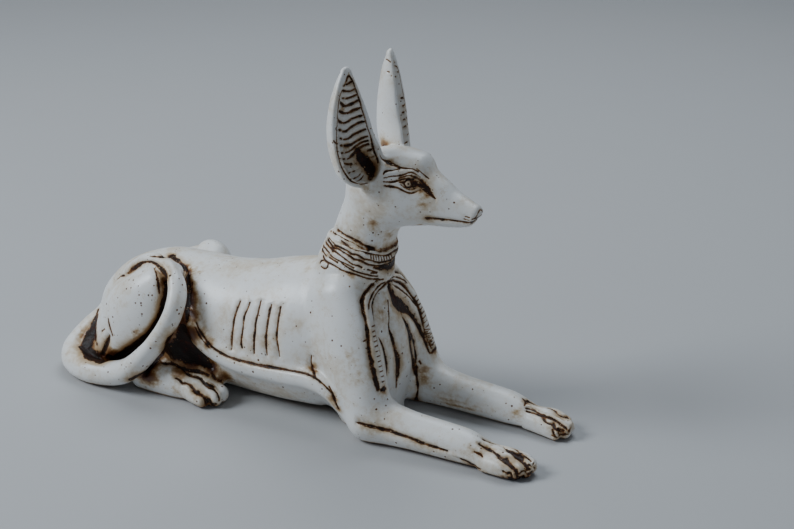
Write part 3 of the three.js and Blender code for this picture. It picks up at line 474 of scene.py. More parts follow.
# Cut lines with brown in them, alike on both sides: how deep they are cut, and x, y, z and half the
# painted width along each.
pairedLines = {
    "mouth": (1.2, [(82.9, -10.2, 131.7, 1.37), (84.5, -10.1, 132, 1.58), (86.8, -9.8, 132.2, 1.03),
        (94.8, -8.5, 132.5, 0.58), (106.3, -5.9, 131.9, 0.68), (107.6, -3.6, 131.9, 1.05),
        (107.2, 2, 131.3, 1.2)]),
    "upperLid": (0.7, [(60.5, -19.1, 152.5, 0.22), (65.2, -18, 152.8, 0.44), (67.7, -17, 153.5, 0.39),
        (72, -14.6, 154.8, 0.33), (75.7, -12.3, 154.2, 0.33)]),
    "lowerLid": (0.7, [(61.2, -19.6, 150.4, 0.33), (66.2, -18.7, 150.3, 0.5), (68.9, -18, 149.8, 0.44),
        (73, -16.5, 147.8, 0.44), (74.9, -15.4, 147.2, 0.44), (76.7, -14.2, 147.4, 0.44),
        (79.7, -11.7, 148.9, 0.28)]),
    "lowerRim": (0.5, [(70.1, -16.9, 151.8, 0.22), (71.8, -16.5, 150.4, 0.33), (73.7, -15.5, 149.4, 0.39),
        (75.6, -14.3, 149, 0.44), (78.9, -11.4, 150.3, 0.44)]),
    "eyeHollow": (0.9, [(69.2, -16.8, 152.9, 0.33), (70.9, -16, 152.9, 0.83), (73.3, -14.8, 152.3, 1.65),
        (75.6, -13.2, 152, 1.98), (77.8, -11.6, 151.7, 1.76), (80.4, -10.6, 150.2, 1.54),
        (82.7, -10.4, 148.5, 1.43), (85.1, -10.2, 146.6, 0.99), (87.5, -9.7, 144.5, 0.17)]),
    "browHollow": (0.6, [(74.6, -12.6, 156, 0.28), (76.4, -11.5, 155.3, 0.66), (78.2, -10.2, 153.9, 0.88),
        (80.5, -9.7, 151.7, 1.21), (83.1, -9.9, 149, 1.21)]),
    "browEnd": (0.45, [(59.5, -17.6, 156.2, 0.28), (60, -16.6, 157.4, 0.46), (61.4, -15.8, 158, 0.34),
        (63.6, -15.2, 158.4, 0.2), (67.6, -13.5, 159.5, 0.2)]),
    "earCrease": (0.8, [(54.6, -13.1, 164.9, 0.18), (56.1, -13, 163.3, 0.28), (57.8, -12.7, 162.5, 0.59),
        (60.5, -13, 161.9, 1.09), (63.1, -13.2, 161.4, 1.12), (67.4, -13.1, 160.1, 0.45),
        (73.8, -11.1, 159.7, 0.22), (75.9, -10.5, 159, 0.28), (77.3, -9.7, 158, 0.17)]),
    "browRidge": (0.25, [(76.1, -9.8, 159.8, 0.17), (81.1, -6.9, 154.7, 0.24), (82, -6.8, 154, 0.12)]),
    "browMiddle": (0.35, [(60.3, -18.3, 154.4, 0.22), (63.9, -16.9, 155.5, 0.17), (69.1, -15, 156.3, 0.17),
        (72.8, -12.7, 157.8, 0.22), (74.8, -11.8, 157.8, 0.22), (78.3, -9.7, 155.2, 0.22)]),
    "browLow": (0.25, [(68.4, -16.1, 155, 0.17), (72.6, -13.5, 156.3, 0.17), (74.5, -12.5, 156.4, 0.22)]),
    "noseEdge": (0.5, [(110, 1, 139.2, 0.38), (110.3, -2.1, 138.1, 0.44), (110, -3.5, 136.2, 0.53),
        (109.3, -4.8, 135.1, 0.3)]),
    "noseFold": (0.3, [(108.4, -6, 134.9, 0.18), (109.4, -4.4, 134.9, 0.35), (109.6, -0.4, 134.7, 0.6)]),
    "whiskerA": (0.3, [(104.5, -7, 136.2, 0.22), (106.8, -6.6, 135.8, 0.14)]),
    "whiskerB": (0.3, [(103.8, -7.1, 134.7, 0.24), (106.6, -6.7, 134.1, 0.15)]),
    "noseTip": (0.3, [(107.8, 1, 141.1, 0.48), (109.6, 1.5, 139.7, 0.45)]),
    "collarTop": (1.5, [(25.5, -12.4, 116.4, 0.82), (29.9, -15.2, 116.3, 0.6), (33.3, -16.6, 115.5, 0.54),
        (36.9, -17.1, 114.9, 0.77), (40.1, -17.1, 113.9, 0.89), (43, -16.5, 112.8, 0.94),
        (45.6, -15.4, 110.9, 0.68), (50.4, -12.4, 109, 0.68), (53.1, -11.6, 108.3, 0.86),
        (55.2, -8.4, 107.4, 1.16), (56.5, -5.1, 107.7, 1.16), (57, -1.3, 108.2, 1)]),
    "rimLine": (0.45, [(17.1, -4.3, 112, 0.35), (24.5, -12.5, 113.8, 0.31), (29.3, -15.4, 114.1, 0.21),
        (35.6, -17.2, 113.1, 0.19), (38.9, -17.2, 112.4, 0.19), (45.1, -15.7, 109.6, 0.2),
        (48.9, -15.5, 108.8, 0.17)]),
    "bandTop": (0.75, [(31.3, -16.6, 111.8, 0.34), (36.6, -17.9, 110.3, 0.26), (40.6, -19, 109.7, 0.22),
        (43.5, -18.5, 108.9, 0.2), (46.1, -17.4, 108.3, 0.2), (48, -16.2, 107.3, 0.37),
        (49.8, -14.8, 106.6, 0.31), (52.2, -12.2, 105.6, 0.26), (54.2, -8.9, 104.5, 0.27),
        (55.5, -5.5, 104, 0.5), (56.3, -2.3, 104.3, 0.76), (56.5, 0.7, 104.8, 0.86)]),
    "bandBottom": (1.05, [(27.7, -18.4, 108.8, 0.71), (30.9, -19.3, 109.2, 0.49),
        (33.8, -19.8, 108.7, 0.42), (37.2, -19.9, 107.7, 0.42), (39.6, -19.6, 106.4, 0.47),
        (43.7, -18.3, 105.7, 0.49), (46.4, -16.8, 103.4, 0.49), (48.7, -15.2, 103, 0.5),
        (52.4, -10.4, 100.5, 0.51), (53.9, -7.4, 100.2, 0.58), (54.9, -4.5, 99.9, 0.67),
        (55.3, -0.6, 99.5, 0.78), (54.9, 3.5, 99.3, 0.75)]),
    "cordBottom": (1.05, [(27.1, -18.5, 107.2, 0.58), (30.3, -19.4, 107.8, 0.38), (36.6, -20, 105.8, 0.38),
        (39.6, -19.6, 104.5, 0.44), (41.5, -19.1, 103.2, 0.61), (43.9, -18.2, 102.9, 0.55),
        (45.4, -17.4, 102.1, 0.79), (47.2, -16.1, 100.7, 0.61), (49.3, -14.1, 99.6, 0.43),
        (51.2, -11.8, 98.7, 0.44), (52.9, -9, 98.1, 0.49), (54.2, -5.6, 97.9, 0.48),
        (54.9, -1.1, 97.6, 0.59)]),
    "wrapHollow": (0.9, [(50.4, -12.6, 97.7, 0.38), (52.1, -9.9, 96.8, 0.91), (53.5, -6.7, 96.2, 1.45),
        (54.4, -2.6, 95.7, 2), (54.5, 1.3, 95.7, 2.06)]),
    "wrapA": (0.75, [(26.5, -18.6, 105.6, 0.56), (28.9, -19.4, 105.7, 0.54), (34.7, -20.3, 103.5, 0.29),
        (40.2, -19.6, 100.4, 0.37), (41.8, -19, 99.9, 0.3)]),
    "wrapB": (0.75, [(42.3, -18.8, 99.6, 0.3), (43.6, -18.2, 99.5, 0.49), (45.2, -17.3, 98.5, 0.48)]),
    "wrapC": (0.6, [(25.2, -18.8, 103, 0.44), (27.8, -19.8, 102.1, 0.33), (33.6, -20.6, 100.9, 0.22),
        (36.7, -20.4, 100.1, 0.25), (41.2, -19.3, 98.2, 0.31)]),
    "wrapD": (0.6, [(24.6, -19, 101.4, 0.34), (28, -20.1, 100.8, 0.46), (31.1, -20.7, 100, 0.38)]),
    "wrapE": (0.68, [(33.6, -20.7, 100.5, 0.16), (37.4, -20.4, 98.3, 0.25), (42.8, -18.6, 95.8, 0.37),
        (47.3, -15.2, 93.9, 0.37), (49.3, -13, 92.7, 0.31), (51.3, -9.7, 91.7, 0.32)]),
    "wrapF": (0.75, [(47.9, -15.1, 97.1, 0.3), (51.4, -10.4, 94.3, 0.36)]),
    "wrapG": (0.45, [(49, -13.7, 94.7, 0.19), (51.2, -10.6, 93.9, 0.26)]),
    "collarBottom": (1.05, [(18.4, -16, 100.2, 0.65), (21.1, -18.2, 98.7, 0.64), (25.2, -19.9, 98.3, 0.39),
        (29, -20.8, 97.7, 0.32), (33.2, -21.2, 96.3, 0.31), (36.8, -20.7, 95.4, 0.36),
        (40.2, -19.7, 94.6, 0.36), (43.2, -18.2, 93.6, 0.36), (46, -16.3, 92.1, 0.42),
        (48.4, -13.7, 90.9, 0.49), (50.5, -10.7, 90.1, 0.45), (52.4, -6, 89.1, 0.48)]),
    "backA": (0.6, [(20.6, -12.6, 111.3, 0.23), (24.4, -16.2, 110.8, 0.29), (27.6, -18.1, 109.9, 0.49)]),
    "backB": (0.75, [(19.4, -12.4, 109.8, 0.75), (23.4, -16.1, 109, 0.81), (26.1, -17.9, 108, 0.86)]),
    "backC": (0.75, [(17.1, -10.9, 107.1, 0.75), (22.3, -16.1, 107, 0.66), (25.9, -18.2, 106.3, 0.71)]),
    "backD": (0.52, [(15.2, -10.2, 104.4, 0.6), (20.1, -15.4, 104.6, 0.4), (24.1, -18.1, 103.8, 0.4)]),
    "backE": (0.52, [(15.7, -12.1, 102.6, 0.6), (19.5, -16, 101.9, 0.46), (21.8, -17.7, 101.4, 0.33)]),
    "strapLine": (0.5, [(51.2, -2.6, 86.2, 0.38), (50.6, -6.3, 85.6, 0.39), (50.1, -10.5, 84.2, 0.4),
        (50, -14.9, 82.1, 0.46), (50.6, -18.7, 79.9, 0.49), (51.4, -21.1, 77.9, 0.5),
        (52, -22.1, 76.5, 0.39)]),
    "strapInner": (0.7, [(51.6, 0, 85.4, 0.5), (51.7, -4.7, 84.3, 0.52), (51.1, -8.8, 82.8, 0.47),
        (51, -12.6, 80.8, 0.54), (51.5, -16.2, 78.6, 0.68), (52.4, -18.5, 76.5, 0.88),
        (54.9, -21.3, 71.3, 0.46), (57, -23.3, 66.4, 0.47), (58.7, -24.6, 61.7, 0.57),
        (63, -25.9, 46.4, 0.52), (64.8, -26.8, 40.4, 0.53), (66.4, -27.9, 35.6, 0.6)]),
    "strapOuter": (1.5, [(51.1, -9.4, 89.2, 0.5), (48.7, -10.9, 86.8, 0.69), (48.2, -19.2, 83.9, 0.78),
        (48.5, -22.2, 82, 0.97), (49.8, -24.1, 79.3, 1.12), (51.1, -25.8, 76.5, 1.03),
        (53, -26.9, 73, 0.85), (54.5, -28.3, 69.6, 0.7), (56, -29.7, 65.6, 0.88), (58.5, -32.2, 57.3, 0.93),
        (59.8, -33.1, 53, 1.24), (62.6, -34.1, 44.2, 1.32), (65.6, -34.6, 35.1, 0.91)]),
    "strapEnd": (0.8, [(66.4, -33.1, 34.1, 0.7), (66.9, -30.6, 33.9, 1.3), (67.1, -27.7, 32.9, 0.97)]),
    "ribA": (0.9, [(-31.6, -28.4, 66.6, 0.39), (-32, -29.9, 64.1, 0.69), (-32.8, -32.4, 59, 0.6),
        (-33, -34.7, 52.3, 0.53), (-33.4, -36, 44.5, 0.69), (-33.4, -36.7, 38.5, 0.27)]),
    "ribB": (0.9, [(-24.1, -29.3, 67.6, 0.32), (-24.6, -31, 64.6, 0.62), (-25.7, -33.1, 60, 0.61),
        (-25.7, -35.7, 51.5, 0.53), (-26.3, -36.7, 44.2, 0.71), (-25.7, -36.9, 41, 0.41)]),
    "ribC": (0.9, [(-16.4, -29, 70.4, 0.23), (-16.1, -32.6, 64.6, 0.52), (-16.5, -35, 58.6, 0.59),
        (-16.3, -37, 50.6, 0.59), (-16.7, -37.6, 39.5, 0.39)]),
    "ribD": (0.9, [(-8.1, -30.5, 70, 0.36), (-8.2, -32.3, 66.8, 0.63), (-8, -35, 60.4, 0.63),
        (-8.1, -36.8, 54.4, 0.63), (-7.9, -37.7, 48.7, 0.71), (-7.3, -38, 40.8, 0.36)]),
    "ribE": (0.9, [(-1.5, -30.9, 70.2, 0.34), (-1.1, -34.3, 63, 0.54), (-0.9, -36.2, 57, 0.47),
        (-0.6, -37.2, 52.1, 0.61), (0.5, -37.7, 47.1, 0.49), (1.2, -37.7, 41.5, 0.28)]),
    "band": (1.4, [(-58.9, -34.8, 49.8, 0.4), (-55.1, -37.2, 46.3, 0.71), (-47.5, -39.2, 39.7, 0.65),
        (-43, -39.5, 37.2, 0.72), (-38, -39.6, 35.5, 0.83), (-32.4, -39.5, 34.4, 0.82),
        (-18.4, -39.2, 33.9, 0.87), (-10, -39.1, 34, 0.76), (7.7, -38.6, 35.3, 0.53),
        (16, -38.7, 35.9, 0.6), (22.1, -38.7, 35.8, 0.71), (26.4, -39.2, 35, 0.63), (31, -40.1, 33.3, 0.51),
        (35.3, -40.6, 30.8, 0.46), (38.7, -40.8, 28.2, 0.41), (40.7, -40.9, 25.5, 0.3)]),
    "bandUnder": (0.5, [(-58.2, -37.8, 47.8, 0.29), (-53.1, -39.4, 42.4, 0.48), (-47.2, -40, 37.6, 0.32)]),
    "armpit": (0.5, [(21.4, -34.6, 45.6, 0.19), (20.9, -34.4, 42.2, 0.32), (21.2, -34, 39, 0.43),
        (23.4, -35.9, 37, 0.72), (26, -38.6, 35.6, 0.69)]),
    "elbowCrack": (0.4, [(36, -39.6, 32.1, 0.23), (38.1, -40.3, 29.7, 0.34), (39.7, -40.9, 26.6, 0.48),
        (42.7, -40.6, 19.6, 0.37)]),
    "foreLeg": (1.3, [(56.4, -43.6, 15.3, 0.4), (59.3, -43.6, 15.4, 0.81), (62.9, -43, 14.9, 1.13),
        (69.5, -40.9, 13.8, 1.23), (72.9, -40.2, 13.5, 1.22), (76.6, -39.8, 13.6, 1.27),
        (79.2, -39.8, 12.9, 0.99), (86.7, -39.5, 12.1, 1.05), (97.8, -38.8, 10.1, 1.14),
        (105.2, -38.5, 9.5, 0.88), (111.4, -38.4, 9.4, 0.26)]),
    "wrist": (0.9, [(119.5, -37.6, 6.2, 0.53), (123.9, -37.2, 5, 1.14), (126, -36.4, 3.8, 1.22),
        (131.7, -38.1, 3.2, 0.4)]),
    "earRimInner": (0.5, [(41.6, -22.9, 209.8, 0.41), (42.9, -22.5, 208.1, 0.45),
        (43.8, -21.9, 205.6, 0.44), (45.7, -19, 195.2, 0.54), (45.9, -17.8, 191.1, 0.44),
        (48.1, -16.1, 181.4, 0.19), (49.3, -15.8, 178.2, 0.25), (49.9, -15.2, 175.2, 0.37),
        (50.3, -13.2, 169.1, 0.58), (51, -12.4, 165.6, 0.55), (52.7, -12.7, 162.7, 0.63),
        (53.5, -13.2, 161, 0.57)]),
    "earRimOuter": (0.4, [(41.6, -22.9, 209.8, 0.39), (40.6, -23.3, 208.5, 0.47), (39.1, -23.5, 204.3, 0.4),
        (41.7, -30, 203.4, 0.37), (41.6, -33.4, 197.6, 0.2), (42.6, -37.4, 181.6, 0.17),
        (43.1, -38.3, 175.8, 0.2), (43.6, -38.5, 172.1, 0.19), (45.2, -37.7, 164.3, 0.25),
        (47.6, -34.6, 157, 0.27), (49, -32.3, 154.3, 0.28), (50.3, -29.6, 153, 0.33),
        (51.5, -26.9, 152, 0.28), (52.4, -23.1, 151.8, 0.46)]),
    "earRibA": (1.04, [(41.8, -28.4, 206, 0.35), (40, -22.5, 204.7, 0.43), (41.6, -22, 205.9, 0.44),
        (43, -22.2, 207, 0.28)]),
    "earRibB": (1.04, [(38.5, -23.6, 201.5, 0.39), (39.2, -22.2, 200.7, 0.46), (40.9, -20.9, 200.7, 0.41),
        (43, -20.8, 202, 0.39), (44.5, -21.2, 202.8, 0.28)]),
    "earRibC": (1.04, [(41.7, -31.5, 199.9, 0.28), (38.1, -22.6, 196.8, 0.4), (39.6, -20.8, 196.7, 0.42),
        (41.5, -19.9, 197.5, 0.46), (44.1, -19.9, 199, 0.33)]),
    "earRibD": (1.04, [(37.2, -24.2, 194.8, 0.45), (37.6, -22.4, 193.1, 0.61), (38.4, -21.1, 192.2, 0.53),
        (40.1, -19.6, 193, 0.65), (42.1, -18.8, 194.2, 0.57), (44.7, -19, 195.8, 0.39)]),
    "earRibE": (1.04, [(36.4, -24.8, 190.4, 0.33), (36.9, -22.8, 189, 0.5), (37.7, -21.1, 188.1, 0.46),
        (39.2, -19.4, 188.1, 0.6), (41.1, -18.3, 189.5, 0.75), (43.3, -17.7, 190.5, 0.57),
        (45.6, -17.9, 191.6, 0.28)]),
    "earRibF": (1.04, [(35.9, -25.1, 185.4, 0.5), (36.3, -23, 183.5, 0.5), (37.1, -21.2, 182.6, 0.47),
        (38.5, -19.3, 183.1, 0.42), (40.2, -18, 184.5, 0.52), (42.3, -17.1, 185.5, 0.57),
        (45.5, -16.7, 186.8, 0.34)]),
    "earRibG": (1.04, [(42.3, -37, 184.4, 0.39), (36.1, -23.3, 179.2, 0.5), (37.1, -20.8, 177.7, 0.51),
        (38.3, -19.1, 178.3, 0.42), (40, -17.7, 180.1, 0.51), (42, -16.7, 181.6, 0.56),
        (44.2, -16.2, 182.8, 0.45), (46.7, -16.2, 183.5, 0.23)]),
    "earRibH": (1.04, [(42.9, -37.2, 179.8, 0.39), (36.3, -22.7, 174.3, 0.44), (37.2, -20.6, 173.3, 0.39),
        (38.6, -18.6, 173.5, 0.41), (40.3, -17.2, 175.2, 0.63), (42.2, -16.2, 176.5, 0.62),
        (44.5, -15.6, 177.8, 0.5), (47, -15.6, 179.2, 0.28)]),
    "earRibI": (1.04, [(43.2, -37.8, 176.3, 0.33), (36.7, -22.9, 170.4, 0.44), (37.7, -20.4, 169.7, 0.66),
        (39.3, -17.8, 169.7, 0.52), (41, -16.3, 171, 0.58), (43, -15.3, 172.4, 0.63),
        (45.2, -14.8, 173.9, 0.58), (47.8, -14.9, 175, 0.3)]),
    "earRibJ": (1.04, [(43.8, -37.8, 172.2, 0.28), (37.4, -23.2, 166.4, 0.39), (38.3, -20.4, 166, 0.39),
        (39.5, -18.1, 166.5, 0.46), (40.9, -16.3, 168.2, 0.63), (42.8, -15.1, 169.9, 0.63),
        (44.9, -14.4, 171.2, 0.52), (47.7, -14.1, 172.4, 0.3)]),
    "earRibK": (1.04, [(44.7, -37.3, 168.3, 0.28), (38.4, -22.9, 163.1, 0.44), (39.4, -20.2, 162.7, 0.39),
        (40.1, -18.1, 164, 0.81), (41, -16.5, 165.4, 0.79), (42.7, -15, 167.3, 0.96),
        (44.7, -14.1, 168.8, 0.74), (47.6, -13.6, 170.2, 0.35)]),
    "earRibL": (0.91, [(43.7, -14.5, 165, 0.45), (46.1, -13.2, 165.7, 0.57), (49, -12.7, 167.1, 0.34)]),
    "earRibM": (0.78, [(46.3, -13.5, 161.8, 0.33), (47.8, -12.8, 162.4, 0.44), (50.1, -12.4, 163.4, 0.33)]),
    "earPool": (0.4, [(41.8, -15.7, 166.8, 1.1), (43.7, -14.6, 163.3, 2.53), (45.9, -14.1, 160.7, 3.08),
        (48.7, -14.6, 157.8, 3.08), (50.9, -16.1, 155.1, 2.35), (51.4, -18.2, 152.9, 1.44)]),
    "earLowA": (0.4, [(46.7, -35.6, 159.5, 0.23), (42.3, -24.2, 156.4, 0.3), (43, -21.1, 156.4, 0.29),
        (44, -18.4, 157.1, 0.22)]),
    "earLowB": (0.4, [(48.2, -33.5, 156, 0.23), (45.5, -24.2, 153.7, 0.3), (45.9, -20.6, 154.1, 0.22),
        (46, -17.6, 155.9, 0.22)]),
    "earLowC": (0.4, [(45.4, -37.6, 163.3, 0.28), (46, -35.5, 163.2, 0.22), (40.9, -20.6, 159.2, 0.28),
        (42.3, -17.7, 159.6, 0.28)]),
    "earLowD": (0.3, [(47.7, -25.9, 152.8, 0.35), (47.7, -21.5, 152.9, 0.25), (47.7, -17.7, 154.7, 0.23)]),
    "earSmear": (0.3, [(39, -24.9, 161.3, 0.59), (39.8, -22.1, 160.2, 0.69), (40.9, -19.6, 159.8, 0.39)]),
    "farEarEdge": (0.5, [(43.8, 21.7, 208.2, 0.45), (40.5, 28.7, 203.4, 0.34), (40.7, 32.4, 195.7, 0.4),
        (41.4, 34.8, 188.2, 0.34), (42.6, 36.1, 181, 0.34), (44, 36.8, 172.7, 0.41),
        (45.4, 35.4, 164.9, 0.34), (46.8, 33.4, 158.5, 0.29)]),
    "farEarInner": (0.4, [(51.4, 13.9, 178.3, 0.22), (53.1, 12, 172.1, 0.39), (54.8, 10.7, 166.3, 0.4),
        (60, 3, 166.8, 0.75)]),
    "farRibA": (0.5, [(39.4, 32.4, 192.9, 0.32), (40.5, 32.8, 194.1, 0.31)]),
    "farRibB": (0.5, [(39.3, 33.1, 190.1, 0.31), (40.4, 33.5, 191.3, 0.3)]),
    "farRibC": (0.5, [(48.4, 17.5, 191.2, 0.5), (39.8, 34.1, 186.8, 0.36), (40.3, 34.3, 187.6, 0.29)]),
    "farRibD": (0.5, [(39.6, 34.4, 181.9, 0.3), (41.9, 35.6, 184.3, 0.29)]),
    "farRibE": (0.5, [(40.1, 34.6, 177.8, 0.29), (42.1, 35.8, 179.2, 0.29)]),
    "farRibF": (0.5, [(40.9, 34.7, 173.4, 0.29), (43, 35.9, 175.2, 0.29)]),
    "farRibG": (0.5, [(41.5, 34.5, 170.6, 0.29), (43.9, 36.2, 172.6, 0.29)]),
    "farRibH": (0.5, [(53.6, 13.3, 173, 0.3), (43.3, 34.9, 167.2, 0.34), (44.5, 35.7, 168.3, 0.29)]),
    "farRibI": (0.5, [(54.7, 12.6, 169.8, 0.3), (44.2, 34.4, 163.5, 0.34), (45.4, 35.2, 164.4, 0.29)]),
    "farRibJ": (0.5, [(55.5, 11.7, 166.4, 0.3), (44.9, 33.2, 159.6, 0.35), (45.8, 33.8, 160, 0.29)]),
    "tickA": (0.35, [(49.7, -14.7, 105.7, 0.2), (49.7, -14.2, 103, 0.2)]),
    "tickB": (0.35, [(50.7, -13.7, 105.3, 0.2), (50.7, -13.1, 102.6, 0.21)]),
    "tickC": (0.35, [(51.7, -12.6, 105, 0.2), (51.7, -11.9, 102.2, 0.21)]),
    "tickD": (0.35, [(52.7, -11.3, 104.7, 0.21), (52.6, -10.6, 101.9, 0.22)]),
    "tickE": (0.35, [(53.6, -9.9, 104.4, 0.22), (53.5, -9.1, 101.6, 0.23)]),
    "tickF": (0.35, [(54.4, -8.4, 104.2, 0.23), (54.2, -7.4, 101.3, 0.25)]),
    "tickG": (0.35, [(55.1, -6.7, 104, 0.25), (54.8, -5.5, 101.1, 0.28)]),
    "tickH": (0.35, [(55.6, -4.8, 103.8, 0.28), (55.3, -3.5, 100.8, 0.32)]),
    "tickI": (0.35, [(56, -2.6, 103.6, 0.33), (55.5, -0.9, 100.4, 0.4)]),
    "rungA": (0.3, [(56.1, -25.9, 67.9, 0.2), (56.5, -22.3, 67.7, 0.21)]),
    "rungB": (0.3, [(57.1, -26.9, 65.4, 0.2), (57.5, -23.3, 65.2, 0.21)]),
    "rungC": (0.3, [(58, -27.7, 62.8, 0.2), (58.4, -24.2, 62.7, 0.21)]),
    "rungD": (0.3, [(58.8, -28.4, 60.2, 0.21), (59.3, -24.9, 60, 0.22)]),
    "rungE": (0.3, [(59.7, -29, 57.6, 0.21), (60.1, -25.4, 57.3, 0.22)]),
    "rungF": (0.3, [(60.6, -29.4, 54.9, 0.21), (60.9, -25.7, 54.5, 0.23)]),
    "rungG": (0.3, [(61.4, -29.8, 52.1, 0.21), (61.6, -25.8, 51.7, 0.24)]),
    "rungH": (0.3, [(62.3, -29.9, 49.3, 0.22), (62.3, -25.8, 48.7, 0.25)]),
    "rungI": (0.3, [(63.1, -30.3, 46.5, 0.22), (63.1, -26, 45.8, 0.25)]),
    "rungJ": (0.3, [(63.9, -30.6, 43.7, 0.22), (63.9, -26.3, 43, 0.25)]),
    "rungK": (0.3, [(64.8, -30.8, 40.9, 0.21), (64.7, -26.3, 40.1, 0.24)]),
    "rungL": (0.3, [(65.6, -31.1, 38.1, 0.22), (65.6, -26.8, 37.4, 0.25)]),
    "beadRing": (0.5, [(16.7, -16.3, 96.1, 0.61), (18, -16.7, 97.5, 0.43), (20.2, -17.8, 98.5, 0.29),
        (22.5, -18.9, 98.7, 0.36), (24.1, -19.7, 97.9, 0.42), (24.3, -20.1, 96.3, 0.39),
        (22.9, -20.1, 94.8, 0.29), (20.5, -19.2, 94.2, 0.32), (18.4, -18, 94.6, 0.42)]),
}

